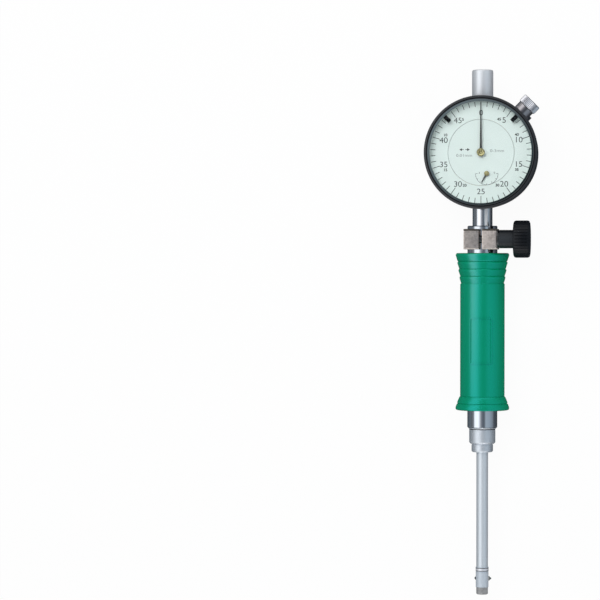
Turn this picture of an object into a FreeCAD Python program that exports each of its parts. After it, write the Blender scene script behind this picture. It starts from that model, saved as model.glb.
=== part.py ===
"""Dial bore gauge: a dial indicator clamped in a handle whose probe measures small bores.

The gauge lies on its back. +X is to the right, +Y runs along the gauge axis from the probe towards the cap,
and +Z is up, out of the dial. The origin is on the table, under the dial's centre.
Lengths are in millimetres and angles in degrees. Every piece is modelled about the gauge axis,
with its own zero at the dial's centre, and is then lifted to the axis' height.
"""
import FreeCAD, Part
import math
import os

import PartDesign
import Sketcher
from FreeCAD import Placement, Rotation, Vector

# Driving sizes. A reach is a distance along the gauge axis from the dial's centre, and a level is a
# height above that axis.
DRIVING = {
    # Running and sliding clearance, on the radius, and the gap where faces only touch
    "running_fit": 0.03,
    "touch_gap": 0.02,
    # Case
    "case_radius": 21.8,
    "case_wall": 4.0,
    "case_edge_chamfer": 0.4,
    "case_top_level": 4.35,
    "ledge_level": 2.5,
    "spigot_step": 1.2,
    "spigot_wall": 1.3,
    "spigot_gap": 0.1,
    "cover_thickness": 1.5,
    "cover_register_height": 0.5,
    "cover_screw_count": 4,
    "cover_screw_angle": 45.0,
    "cover_screw_radius": 0.8,
    "cover_screw_length": 4.0,
    "cover_screw_head_radius": 1.5,
    "cover_screw_sink": 0.1,
    # Plates and dial
    "plate_thickness": 0.6,
    "plate_room": 2.9,
    "front_plate_thickness": 0.8,
    "dial_land_inset": 0.85,
    "dial_land_height": 0.8,
    "dial_thickness": 0.5,
    "scale_ring_width": 6.95,
    "hand_hole_gap": 0.12,
    "dial_room": 2.5,
    "pillar_count": 3,
    "pillar_angle": 90.0,
    "pillar_inset": 1.5,
    "pillar_radius": 1.3,
    "plate_screw_radius": 0.6,
    "plate_screw_head_radius": 1.2,
    "plate_screw_head_height": 0.6,
    # Bezel and glass
    "bezel_overhang": 0.75,
    "bezel_rim_width": 2.3,
    "bezel_mouth_slope": 1.0,
    "bezel_lip_thickness": 0.5,
    "bezel_step_width": 1.15,
    "bezel_step_depth": 0.25,
    "skirt_gap": 0.15,
    "glass_thickness": 1.2,
    "snap_ring_level": 5.5,
    "snap_ring_thickness": 0.5,
    "snap_ring_bite": 0.4,
    "snap_ring_gap": 3.0,
    # Stem, cap and bushes
    "stem_radius": 4.0,
    "bush_radius": 2.6,
    "bush_length": 5.0,
    "stem_seat_depth": 2.3,
    "cap_seat_depth": 0.5,
    "cap_radius": 4.25,
    "cap_neck_radius": 3.5,
    "cap_length": 12.0,
    "cap_end_wall": 1.0,
    "cap_edge_chamfer": 0.4,
    # Spindle and its contact point
    "spindle_radius": 2.0,
    "spindle_above_bush": 3.8,
    "spindle_below_stem": 3.0,
    "point_length": 7.0,
    "point_collar_radius": 1.9,
    "point_collar_length": 4.0,
    "point_stud_radius": 1.0,
    "point_stud_length": 3.0,
    "point_ball_radius": 0.9,
    "guide_pin_inset": 9.5,
    "guide_pin_radius": 0.6,
    "guide_pin_length": 6.8,
    "guide_rail_near": 5.0,
    "guide_rail_far": 7.6,
    "guide_rail_wall": 1.1,
    "spindle_stroke": 3.0,
    # Rack and gear train
    "rack_pitch": 0.5,
    "rack_teeth": 14,
    "pinion_teeth": 12,
    "large_gear_teeth": 48,
    "middle_gear_teeth": 36,
    "gear_module": 0.25,
    "pressure_angle": 20.0,
    "tooth_backlash": 0.05,
    "gear_thickness": 0.5,
    "gear_hub_radius": 1.1,
    "counter_x": 2.3,
    "counter_reach": 8.4,
    "take_up_angle": 160.0,
    "first_gear_lift": 0.3,
    "middle_gear_gap": 0.4,
    "take_up_gap": 0.2,
    "arbor_radius": 0.5,
    "pivot_radius": 0.35,
    "end_play": 0.05,
    "rack_pinion_half_length": 1.2,
    "rear_bearing_drop": 2.9,
    "rear_bearing_thickness": 0.7,
    "rear_bracket_width": 3.0,
    "rear_bracket_wall": 1.2,
    "rear_bracket_inset": 3.6,
    # Springs
    "return_spring_radius": 2.2,
    "return_spring_wire": 0.5,
    "return_spring_turns": 5,
    "spindle_spring_radius": 0.85,
    "spindle_spring_wire": 0.22,
    "spindle_spring_turns": 8,
    "spring_line_x": 3.9,
    "spring_post_inset": 4.5,
    "spring_post_radius": 0.6,
    "hairspring_outer_radius": 4.4,
    "hairspring_strip": 0.12,
    "hairspring_height": 0.4,
    "hairspring_turns": 3.5,
    "hairspring_stud_rise": 1.45,
    # Hands
    "pointer_tip_gap": 0.2,
    "pointer_root_width": 0.9,
    "pointer_tip_width": 0.3,
    "pointer_thickness": 0.25,
    "pointer_hub_radius": 1.55,
    "counter_hand_length": 4.1,
    "counter_hand_width": 0.6,
    "counter_hand_angle": -120.0,
    "counter_hub_radius": 1.0,
    "hand_thickness": 0.2,
    "hand_lift": 0.5,
    "pointer_lift": 0.4,
    "hub_rise": 0.25,
    "hub_drop": 0.15,
    # Limit markers
    "marker_angle": 45.0,
    "marker_width": 1.65,
    "marker_length": 2.9,
    "marker_tip_length": 0.7,
    "marker_tip_width": 0.6,
    "marker_lift": 0.25,
    "marker_shoe_depth": 0.3,
    "marker_shoe_angle": 16.0,
    "marker_thickness": 0.6,
    # Bezel lock
    "lock_angle": 45.0,
    "lock_level": 5.95,
    "lock_neck_radius": 3.5,
    "lock_neck_shown": 2.65,
    "lock_foot_thickness": 1.9,
    "lock_foot_low_level": -6.0,
    "lock_bezel_gap": 0.12,
    "lock_shoe_radius": 1.4,
    "lock_shoe_thickness": 1.2,
    "lock_travel": 0.8,
    "lock_stud_radius": 1.0,
    "lock_knob_radius": 4.0,
    "lock_knob_length": 3.5,
    "lock_knob_chamfer": 0.35,
    "bracket_screw_radius": 0.8,
    "bracket_screw_head_radius": 1.5,
    "bracket_screw_head_height": 0.8,
    "bracket_screw_level": -3.2,
    # Handle tube and grip
    "stem_shown": 7.3,
    "tube_radius": 6.0,
    "tube_bore_radius": 4.6,
    "collet_depth": 12.4,
    "collet_slot_width": 1.0,
    "collet_slot_count": 3,
    "collet_slot_angle": 30.0,
    "tube_top_chamfer": 0.3,
    "tube_end_chamfer": 0.6,
    "tube_below_grip": 7.4,
    "grip_seat_depth": 0.3,
    "grip_length": 63.0,
    "grip_flare_radius": 10.75,
    "grip_body_radius": 8.9,
    "grip_upper_flare": 12.5,
    "grip_lower_flare": 5.5,
    "grip_lower_ring": 2.8,
    "grip_ring_count": 4,
    "grip_groove_width": 0.45,
    "grip_groove_depth": 0.35,
    "grip_ring_step": 0.25,
    "grip_edge_round": 0.7,
    # Clamp
    "clamp_drop": 1.35,
    "clamp_height": 8.1,
    "clamp_grip_gap": 1.45,
    "clamp_half_width": 6.7,
    "clamp_front_level": 11.8,
    "clamp_slit_width": 1.4,
    "clamp_edge_chamfer": 0.5,
    "clamp_screw_level": 8.7,
    "clamp_stud_radius": 1.5,
    "clamp_washer_radius": 3.3,
    "clamp_washer_thickness": 0.5,
    "thumb_neck_radius": 3.65,
    "thumb_neck_length": 5.8,
    "thumb_knob_radius": 7.4,
    "thumb_knob_length": 6.5,
    "thumb_knob_round": 0.9,
    "thumb_flute_count": 36,
    "thumb_flute_depth": 0.2,
    "thumb_stud_depth": 8.0,
    # Probe
    "adapter_shank_length": 8.0,
    "adapter_flange_radius": 5.25,
    "adapter_flange_length": 6.2,
    "adapter_neck_radius": 4.3,
    "adapter_neck_length": 3.3,
    "adapter_groove": 0.3,
    "adapter_chamfer": 0.5,
    "probe_socket_depth": 8.0,
    "probe_tube_radius": 2.35,
    "probe_tube_wall": 0.65,
    "probe_tube_shown": 46.2,
    "head_radius": 2.55,
    "head_length": 8.1,
    "head_spigot_length": 5.0,
    "head_groove_drop": 1.9,
    "head_groove_depth": 0.15,
    "end_cap_radius": 2.35,
    "end_cap_length": 2.9,
    "end_cap_stud_radius": 1.2,
    "end_cap_stud_length": 1.8,
    "end_cap_chamfer": 0.3,
    "contact_drop": 4.6,
    # Push rod and contact
    "rod_radius": 1.0,
    "rod_button_radius": 2.2,
    "rod_button_length": 2.0,
    "rod_button_socket": 1.2,
    "rod_button_chamfer": 0.3,
    "rod_passage_gap": 0.3,
    "rod_guide_drop": 5.5,
    "rod_guide_length": 3.0,
    "rod_collar_drop": 18.0,
    "rod_collar_radius": 3.2,
    "rod_collar_length": 2.0,
    "plunger_radius": 0.9,
    "plunger_nose_radius": 0.7,
    "plunger_shoulder": 1.93,
    "plunger_apex": 0.35,
    "plunger_nose_end": 2.85,
    "contact_ball_radius": 0.45,
    "contact_tip": 3.1,
    "anvil_inner_end": 1.15,
    "anvil_outer_end": 2.95,
    "anvil_tip_base_radius": 0.8,
    "anvil_tip_ball_radius": 0.4,
    "anvil_tip_end": 3.7,
    "anvil_screw_radius": 0.45,
    "anvil_screw_x": 1.65,
    "anvil_screw_sink": 0.95,
}

document = FreeCAD.newDocument("dial_bore_gauge")
sheet = document.addObject("Spreadsheet::Sheet", "Sizes")
for row, (alias, value) in enumerate(DRIVING.items(), start=1):
    sheet.set("A%d" % row, alias)
    sheet.set("B%d" % row, str(value))
    sheet.setAlias("B%d" % row, alias)
document.recompute()


class Size:
    """A number with its formula, so that a sketch starts at the right place and stays bound to the sheet."""

    def __init__(self, number, formula):
        self.number = number
        self.formula = formula

    def __add__(self, other):
        other = as_size(other)
        return Size(self.number + other.number, "(%s + %s)" % (self.formula, other.formula))

    def __sub__(self, other):
        other = as_size(other)
        return Size(self.number - other.number, "(%s - %s)" % (self.formula, other.formula))

    def __mul__(self, other):
        other = as_size(other)
        return Size(self.number * other.number, "(%s * %s)" % (self.formula, other.formula))

    def __truediv__(self, other):
        other = as_size(other)
        return Size(self.number / other.number, "(%s / %s)" % (self.formula, other.formula))

    def __neg__(self):
        return Size(-self.number, "(0 - %s)" % self.formula)

    __radd__ = __add__
    __rmul__ = __mul__


def as_size(value):
    return value if isinstance(value, Size) else Size(float(value), repr(float(value)))


def root(size):
    return Size(math.sqrt(size.number), "sqrt(%s)" % size.formula)


def cosine(angle):
    return Size(math.cos(math.radians(angle.number)), "cos(%s)" % angle.formula)


def sine(angle):
    return Size(math.sin(math.radians(angle.number)), "sin(%s)" % angle.formula)


class Sheet:
    """The sheet's cells by alias, as sizes."""

    def __getattr__(self, alias):
        return Size(float(sheet.get(alias)), "Sizes." + alias)


s = Sheet()

# Radii of the case, its spigot, the bezel and what they hold, each from the case's own radius
case_bore_radius = s.case_radius - s.case_wall
spigot_radius = s.case_radius - s.spigot_step
spigot_bore_radius = spigot_radius - s.spigot_wall
bezel_radius = s.case_radius + s.bezel_overhang
bezel_bore_radius = spigot_radius + s.running_fit
bezel_opening_radius = bezel_radius - s.bezel_rim_width
dial_seam_radius = bezel_opening_radius - s.scale_ring_width
dial_land_radius = dial_seam_radius - s.dial_land_inset
bezel_mouth_radius = bezel_opening_radius + s.bezel_mouth_slope
bezel_step_radius = bezel_radius - s.bezel_step_width
snap_ring_inner_radius = spigot_radius - s.snap_ring_bite
snap_ring_outer_radius = spigot_radius + s.snap_ring_bite
pillar_circle_radius = case_bore_radius - s.pillar_inset
pointer_length = bezel_opening_radius - s.pointer_tip_gap
marker_inner_radius = bezel_opening_radius - s.marker_length
lock_neck_end = bezel_radius + s.lock_neck_shown
wall_seat_reach = s.case_radius - s.stem_seat_depth
cap_seat_reach = s.case_radius - s.cap_seat_depth
guide_pin_reach = case_bore_radius - s.guide_pin_inset
spring_post_reach = case_bore_radius - s.spring_post_inset

# Levels above the gauge axis, from the back cover to the bezel's front
axis_height = s.grip_flare_radius
cover_low = -axis_height
cover_top = cover_low + s.cover_thickness
ledge = s.ledge_level
skirt_low = s.case_top_level + s.skirt_gap
bridge_top = ledge + s.plate_thickness
front_low = bridge_top + s.plate_room
front_top = front_low + s.front_plate_thickness
dial_low = front_top + s.dial_land_height
dial_top = dial_low + s.dial_thickness
spigot_top = dial_low - s.spigot_gap
glass_low = dial_top + s.dial_room
glass_top = glass_low + s.glass_thickness
bezel_top = glass_top + s.bezel_lip_thickness

# Gear levels between the plates
first_gear_low = bridge_top + s.first_gear_lift
first_gear_top = first_gear_low + s.gear_thickness
middle_gear_low = first_gear_top + s.middle_gear_gap
middle_gear_top = middle_gear_low + s.gear_thickness
take_up_low = middle_gear_top + s.take_up_gap
take_up_top = take_up_low + s.gear_thickness

# Hand levels under the glass
hand_low = dial_top + s.hand_lift
hand_top = hand_low + s.hand_thickness
pointer_low = hand_top + s.pointer_lift
pointer_top = pointer_low + s.pointer_thickness
marker_low = pointer_top + s.marker_lift

# Stations along the gauge axis, from the indicator down to the probe's end
tube_top = -(s.case_radius + s.stem_shown)
clamp_top = tube_top - s.clamp_drop
clamp_bottom = clamp_top - s.clamp_height
clamp_middle = clamp_top - s.clamp_height / 2
grip_top = clamp_bottom - s.clamp_grip_gap
grip_bottom = grip_top - s.grip_length
grip_seat_radius = s.tube_radius - s.grip_seat_depth
tube_bottom = grip_bottom - s.tube_below_grip
flange_bottom = tube_bottom - s.adapter_flange_length
adapter_bottom = flange_bottom - s.adapter_neck_length
socket_top = adapter_bottom + s.probe_socket_depth
probe_tube_bottom = adapter_bottom - s.probe_tube_shown
contact_line = probe_tube_bottom - s.contact_drop
head_bottom = probe_tube_bottom - s.head_length
end_cap_bottom = head_bottom - s.end_cap_length
stem_bottom = tube_top - s.collet_depth
spindle_bottom = stem_bottom - s.spindle_below_stem
spindle_top = wall_seat_reach + s.bush_length + s.spindle_above_bush
point_bottom = spindle_bottom - s.point_length
button_top = point_bottom - s.touch_gap
button_bottom = button_top - s.rod_button_length
rod_top = button_bottom + s.rod_button_socket
guide_top = button_top - s.rod_guide_drop
guide_bottom = guide_top - s.rod_guide_length
collar_top = guide_bottom - s.rod_collar_drop
collar_bottom = collar_top - s.rod_collar_length

# The push rod's cone rests on the plunger's cone, both of ninety degrees
rod_apex = contact_line - s.plunger_apex + s.touch_gap

# Arbor places: the counter's arbor beside the spindle, the centre arbor under the dial's middle, and the
# middle arbor where both its gears mesh
rack_pinion_radius = s.rack_pitch * s.pinion_teeth / (2 * math.pi)
large_distance = s.gear_module * (s.large_gear_teeth + s.pinion_teeth) / 2
middle_distance = s.gear_module * (s.middle_gear_teeth + s.pinion_teeth) / 2
counter_y = -s.counter_reach
counter_distance = root(s.counter_x * s.counter_x + counter_y * counter_y)
along_line = (
    counter_distance * counter_distance
    + middle_distance * middle_distance
    - large_distance * large_distance
) / (2 * counter_distance)
off_line = root(middle_distance * middle_distance - along_line * along_line)
middle_x = (along_line * s.counter_x - off_line * counter_y) / counter_distance
middle_y = (along_line * counter_y + off_line * s.counter_x) / counter_distance
take_up_x = large_distance * cosine(s.take_up_angle)
take_up_y = large_distance * sine(s.take_up_angle)
rack_pitch_line = s.counter_x - rack_pinion_radius

# The sketch plane that holds each axis, and the sketch's own line along it
PLANE_OF_AXIS = {"X": "XY_Plane", "Y": "XY_Plane", "Z": "XZ_Plane"}
SKETCH_AXIS = {"X": "H_Axis", "Y": "V_Axis", "Z": "V_Axis"}

# How far a rounded corner drawn with two straight lines stays from the sharp one, as a share of its radius
CORNER_SHARE = 0.3

# How far the teeth rise above the pitch line and go below it, as shares of the module
TOOTH_RISE = 0.9
TOOTH_DEPTH = 1.2

nodes = []


def seat(piece, shift=(0, 0, 0), about=(0, 0, 1), angle=0):
    """Lifts a piece to the gauge axis' height, moved by shift and turned by angle about a direction."""
    angle = as_size(angle)
    place = [as_size(shift[0]), as_size(shift[1]), as_size(shift[2]) + axis_height]
    piece.Placement = Placement(
        Vector(*[size.number for size in place]), Rotation(Vector(*about), angle.number)
    )
    for letter, size in zip("xyz", place):
        piece.setExpression("Placement.Base." + letter, size.formula)
    if angle.number:
        piece.setExpression("Placement.Rotation.Angle", angle.formula)


def new_body(label, **place):
    body = document.addObject("PartDesign::Body", label)
    body.Label = label
    seat(body, **place)
    nodes.append(body)
    return body


def origin_plane(body, role):
    return [plane for plane in body.Origin.OriginFeatures if plane.Role == role][0]


def new_sketch(body, name, plane, lift=0):
    """A sketch on one of the body's own planes, lifted along the plane's normal."""
    lift = as_size(lift)
    sketch = body.newObject("Sketcher::SketchObject", name)
    sketch.AttachmentSupport = [(origin_plane(body, plane), "")]
    sketch.MapMode = "FlatFace"
    sketch.AttachmentOffset = Placement(Vector(0, 0, lift.number), Rotation())
    sketch.setExpression("AttachmentOffset.Base.z", lift.formula)
    return sketch


def bind_point(sketch, element, end, point):
    """Holds an end of a sketch element at a point's two sizes, from the sketch's origin."""
    for kind, size in zip(("DistanceX", "DistanceY"), point):
        if size is None:
            continue
        size = as_size(size)
        number = sketch.addConstraint(Sketcher.Constraint(kind, -1, 1, element, end, size.number))
        sketch.setExpression("Constraints[%d]" % number, size.formula)


def flat(point):
    return Vector(as_size(point[0]).number, as_size(point[1]).number, 0)


def outline(body, name, plane, corners, lift=0):
    """A closed sketch of straight lines through the corners."""
    sketch = new_sketch(body, name, plane, lift)
    count = len(corners)
    for index in range(count):
        line = Part.LineSegment(flat(corners[index]), flat(corners[(index + 1) % count]))
        sketch.addGeometry(line, False)
    for index in range(count):
        sketch.addConstraint(Sketcher.Constraint("Coincident", index, 2, (index + 1) % count, 1))
        bind_point(sketch, index, 1, corners[index])
    return sketch


def ball_outline(body, name, axis, corners, ball_radius, ball_along, outward):
    """A turned section that ends in a quarter circle, whose centre is on the axis at ball_along.

    The last corner is where the quarter circle starts, at the ball's radius, and outward is +1 or -1
    along the axis.
    """
    sketch = new_sketch(body, name, PLANE_OF_AXIS[axis])
    swap = axis == "X"

    def turned_point(radius, along):
        return (along, radius) if swap else (radius, along)

    points = [turned_point(radius, along) for radius, along in corners]
    tip_along = ball_along + outward * ball_radius
    for start, end in zip(points, points[1:]):
        sketch.addGeometry(Part.LineSegment(flat(start), flat(end)), False)
    centre = flat(turned_point(0, ball_along))
    circle = Part.Circle(centre, Vector(0, 0, 1), as_size(ball_radius).number)
    start_angle = math.pi / 2 if swap else 0
    tip_angle = (0 if outward > 0 else math.pi) if swap else math.copysign(math.pi / 2, outward)
    first, last = sorted((start_angle, tip_angle))
    arc = sketch.addGeometry(Part.ArcOfCircle(circle, first, last), False)
    axis_line = sketch.addGeometry(
        Part.LineSegment(flat(turned_point(0, tip_along)), flat(points[0])), False
    )
    arc_start = 1 if first == start_angle else 2
    for index in range(len(points) - 2):
        sketch.addConstraint(Sketcher.Constraint("Coincident", index, 2, index + 1, 1))
    sketch.addConstraint(Sketcher.Constraint("Coincident", arc - 1, 2, arc, arc_start))
    sketch.addConstraint(Sketcher.Constraint("Coincident", arc, 3 - arc_start, axis_line, 1))
    sketch.addConstraint(Sketcher.Constraint("Coincident", axis_line, 2, 0, 1))
    for index in range(len(points) - 1):
        bind_point(sketch, index, 1, points[index])
    bind_point(sketch, arc, 3, turned_point(0, ball_along))
    bind_point(sketch, arc, arc_start, points[-1])
    bind_point(sketch, arc, 3 - arc_start, (None, 0) if swap else (0, None))
    return sketch


def revolve(body, sketch, axis):
    feature = body.newObject("PartDesign::Revolution", sketch.Name + "_turned")
    feature.Profile = sketch
    feature.ReferenceAxis = (sketch, [SKETCH_AXIS[axis]])
    feature.Angle = 360
    return feature


def turned(label, axis, section, **place):
    """A piece turned about an axis, from its half section as (radius, place along the axis) corners."""
    body = new_body(label, **place)
    corners = [(along, radius) if axis == "X" else (radius, along) for radius, along in section]
    revolve(body, outline(body, label + "_section", PLANE_OF_AXIS[axis], corners), axis)
    return body


def turned_with_ball(label, axis, section, ball_radius, ball_along, outward, **place):
    body = new_body(label, **place)
    sketch = ball_outline(body, label + "_section", axis, section, ball_radius, ball_along, outward)
    revolve(body, sketch, axis)
    return body


def ring_section(inner, outer, low, top):
    return [(inner, low), (outer, low), (outer, top), (inner, top)]


def extruded(kind, body, sketch, length, up=True, both=False):
    """A pad or pocket from a sketch, along its normal if up, or to both sides."""
    length = as_size(length)
    feature = body.newObject("PartDesign::" + kind, sketch.Name + "_" + kind.lower())
    feature.Profile = sketch
    feature.Length = length.number
    feature.setExpression("Length", length.formula)
    if both:
        feature.SideType = "Symmetric"
    else:
        feature.Reversed = up if kind == "Pocket" else not up
    body.Tip = feature
    return feature


def circles(body, name, plane, discs, lift=0):
    """A sketch of circles, each given by its centre's two sizes and its radius."""
    sketch = new_sketch(body, name, plane, lift)
    for across, along, radius in discs:
        radius = as_size(radius)
        centre = (across, along)
        circle = Part.Circle(flat(centre), Vector(0, 0, 1), radius.number)
        element = sketch.addGeometry(circle, False)
        number = sketch.addConstraint(Sketcher.Constraint("Radius", element, radius.number))
        sketch.setExpression("Constraints[%d]" % number, radius.formula)
        bind_point(sketch, element, 3, centre)
    return sketch


def drill(body, name, plane, discs, start, length, up=True):
    """Round holes from a level along a plane's normal."""
    return extruded("Pocket", body, circles(body, name, plane, discs, start), length, up)


def primitive(kind, name, sizes, shift=(0, 0, 0), about=(0, 0, 1), angle=0):
    """A Part primitive whose sizes and place are bound to the sheet, in a piece's own frame."""
    angle = as_size(angle)
    solid = document.addObject("Part::" + kind, name)
    for key, size in sizes.items():
        size = as_size(size)
        setattr(solid, key, size.number)
        solid.setExpression(key, size.formula)
    place = [as_size(size) for size in shift]
    solid.Placement = Placement(
        Vector(*[size.number for size in place]), Rotation(Vector(*about), angle.number)
    )
    for letter, size in zip("xyz", place):
        solid.setExpression("Placement.Base." + letter, size.formula)
    if angle.number:
        solid.setExpression("Placement.Rotation.Angle", angle.formula)
    return solid


def grouped(label, pieces, **place):
    """A node of separate like solids."""
    group = document.addObject("Part::Compound", label)
    group.Label = label
    group.Links = pieces
    seat(group, **place)
    nodes.append(group)
    return group


def fused(label, pieces, **place):
    """A node of primitives that touch and make one solid."""
    piece = document.addObject("Part::MultiFuse", label)
    piece.Label = label
    piece.Shapes = pieces
    seat(piece, **place)
    nodes.append(piece)
    return piece


def shaped(label, shape):
    """A node whose shape is worked out by formula in the piece's own frame, then lifted to the axis."""
    piece = document.addObject("Part::Feature", label)
    piece.Label = label
    piece.Shape = shape
    piece.Placement = Placement(Vector(0, 0, axis_height.number), Rotation())
    nodes.append(piece)
    return piece


def polar(radius, angle, middle=(0, 0)):
    """A point's two sizes at a radius and an angle about a middle."""
    angle = as_size(angle)
    return middle[0] + radius * cosine(angle), middle[1] + radius * sine(angle)


# Handle tube: a slotted collet grips the indicator's stem at its top, and the probe screws in at its end

def make_handle_tube():
    collet_radius = s.stem_radius + s.touch_gap
    collet_floor = stem_bottom - s.tube_top_chamfer
    tube = turned("handle_tube", "Y", [
        (collet_radius, tube_top),
        (s.tube_radius - s.tube_top_chamfer, tube_top),
        (s.tube_radius, tube_top - s.tube_top_chamfer),
        (s.tube_radius, grip_top),
        (grip_seat_radius, grip_top),
        (grip_seat_radius, grip_bottom),
        (s.tube_radius, grip_bottom),
        (s.tube_radius, tube_bottom + s.tube_end_chamfer),
        (s.tube_radius - s.tube_end_chamfer, tube_bottom),
        (s.tube_bore_radius, tube_bottom),
        (s.tube_bore_radius, collet_floor),
        (collet_radius, collet_floor),
    ], about=(0, 1, 0), angle=s.collet_slot_angle)
    half = s.collet_slot_width / 2
    slot_bottom = grip_top + s.clamp_grip_gap / 3
    slot_top = tube_top + s.collet_slot_width
    slot = outline(tube, "collet_slot", "XY_Plane", [
        (-half, slot_bottom), (half, slot_bottom), (half, slot_top), (-half, slot_top),
    ])
    cut = extruded("Pocket", tube, slot, 2 * s.tube_radius)
    pattern = tube.newObject("PartDesign::PolarPattern", "collet_slots")
    pattern.Originals = [cut]
    pattern.Axis = (slot, ["V_Axis"])
    pattern.Angle = 360
    pattern.Occurrences = int(s.collet_slot_count.number)
    pattern.setExpression("Occurrences", s.collet_slot_count.formula)
    tube.Tip = pattern


# Grip: a moulded sleeve with a ringed flare at each end

def make_grip():
    count = int(s.grip_ring_count.number)
    ring = s.grip_upper_flare / count
    slope = (s.grip_flare_radius - s.grip_body_radius) / s.grip_upper_flare
    section = [(grip_seat_radius, grip_top)]
    for index in range(count):
        ring_top = grip_top - ring * index
        groove_top = ring_top - ring + s.grip_groove_width
        radius_top = s.grip_flare_radius - slope * ring * index
        radius_bottom = radius_top - slope * (ring - s.grip_groove_width)
        if index:
            section.append((radius_top - s.grip_ring_step, ring_top))
        else:
            section.append((radius_top - s.grip_edge_round / 2, ring_top))
            section.append((radius_top, ring_top - s.grip_edge_round / 2))
        section.append((radius_bottom, groove_top))
        section.append((radius_bottom - s.grip_groove_depth, groove_top))
        section.append((radius_bottom - s.grip_groove_depth, ring_top - ring))
    body_top = grip_top - s.grip_upper_flare
    flare_top = grip_bottom + s.grip_lower_flare
    flare_middle = grip_bottom + s.grip_lower_ring
    flare_radius = (s.grip_body_radius + 2 * s.grip_flare_radius) / 3
    near_corner = s.grip_edge_round * CORNER_SHARE
    section += [
        (s.grip_body_radius, body_top),
        (s.grip_body_radius, flare_top),
        (flare_radius, flare_middle),
        (flare_radius - s.grip_groove_depth, flare_middle),
        (flare_radius - s.grip_groove_depth, flare_middle - s.grip_groove_width),
        (flare_radius, flare_middle - s.grip_groove_width),
        (s.grip_flare_radius, grip_bottom + s.grip_edge_round),
        (s.grip_flare_radius - near_corner, grip_bottom + near_corner),
        (s.grip_flare_radius - s.grip_edge_round, grip_bottom),
        (grip_seat_radius, grip_bottom),
    ]
    turned("grip", "Y", section)


def make_reducing_adapter():
    shank_top = tube_bottom + s.adapter_shank_length
    rod_passage = s.rod_radius + s.rod_passage_gap
    groove_radius = s.adapter_neck_radius - s.adapter_groove
    turned("reducing_adapter", "Y", [
        (rod_passage, shank_top),
        (s.tube_bore_radius, shank_top),
        (s.tube_bore_radius, tube_bottom),
        (s.adapter_flange_radius, tube_bottom),
        (s.adapter_flange_radius, flange_bottom + s.adapter_chamfer),
        (s.adapter_flange_radius - s.adapter_chamfer, flange_bottom),
        (groove_radius, flange_bottom),
        (groove_radius, flange_bottom - s.adapter_groove),
        (s.adapter_neck_radius, flange_bottom - s.adapter_groove),
        (s.adapter_neck_radius, adapter_bottom + s.adapter_chamfer),
        (s.adapter_neck_radius - s.adapter_chamfer, adapter_bottom),
        (s.probe_tube_radius, adapter_bottom),
        (s.probe_tube_radius, socket_top),
        (rod_passage, socket_top),
    ])


def make_probe():
    """Probe tube, its head with the cross bore, the end cap, and the anvil with its tip and lock screw."""
    spigot_radius = s.probe_tube_radius - s.probe_tube_wall
    turned("probe_tube", "Y", ring_section(spigot_radius, s.probe_tube_radius, probe_tube_bottom, socket_top))

    cross_radius = s.plunger_radius + s.touch_gap
    rod_bore = s.rod_radius + s.running_fit
    spigot_top = probe_tube_bottom + s.head_spigot_length
    groove_top = probe_tube_bottom - s.head_groove_drop
    groove_bottom = groove_top - s.head_groove_depth
    groove_radius = s.head_radius - s.head_groove_depth
    chamber_bottom = head_bottom + s.end_cap_stud_length
    head = turned("probe_head", "Y", [
        (rod_bore, spigot_top),
        (spigot_radius, spigot_top),
        (spigot_radius, probe_tube_bottom),
        (s.head_radius, probe_tube_bottom),
        (s.head_radius, groove_top),
        (groove_radius, groove_top),
        (groove_radius, groove_bottom),
        (s.head_radius, groove_bottom),
        (s.head_radius, head_bottom),
        (s.end_cap_stud_radius, head_bottom),
        (s.end_cap_stud_radius, chamber_bottom),
        (rod_bore, chamber_bottom),
    ])
    cross = (contact_line, 0, cross_radius)
    mouth = (contact_line, 0, s.plunger_nose_radius + s.touch_gap)
    shoulder_seat = s.plunger_shoulder + s.touch_gap
    drill(head, "cross_bore", "YZ_Plane", [cross], -shoulder_seat, 2 * s.head_radius)
    drill(head, "contact_mouth", "YZ_Plane", [mouth], 0, 2 * s.head_radius, up=False)
    screw_place = (s.anvil_screw_x, contact_line, s.anvil_screw_radius)
    drill(head, "lock_screw_hole", "XY_Plane", [screw_place], 0, 2 * s.head_radius, up=False)

    turned("end_cap", "Y", [
        (0, chamber_bottom),
        (s.end_cap_stud_radius, chamber_bottom),
        (s.end_cap_stud_radius, head_bottom),
        (s.end_cap_radius, head_bottom),
        (s.end_cap_radius, end_cap_bottom + s.end_cap_chamfer),
        (s.end_cap_radius - s.end_cap_chamfer, end_cap_bottom),
        (0, end_cap_bottom),
    ])
    turned("anvil", "X", [
        (0, s.anvil_inner_end),
        (cross_radius, s.anvil_inner_end),
        (cross_radius, s.anvil_outer_end),
        (0, s.anvil_outer_end),
    ], shift=(0, contact_line, 0))
    ball_along = s.anvil_tip_end - s.anvil_tip_ball_radius
    turned_with_ball("anvil_tip", "X", [
        (0, s.anvil_outer_end),
        (s.anvil_tip_base_radius, s.anvil_outer_end),
        (s.anvil_tip_ball_radius, ball_along),
    ], s.anvil_tip_ball_radius, ball_along, 1, shift=(0, contact_line, 0))
    screw_end = cross_radius + s.touch_gap
    screw_face = s.head_radius - s.anvil_screw_sink
    turned("anvil_lock_screw", "Z", [
        (0, -screw_face),
        (s.anvil_screw_radius, -screw_face),
        (s.anvil_screw_radius, -screw_end),
        (0, -screw_end),
    ], shift=(s.anvil_screw_x, contact_line, 0))


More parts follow.
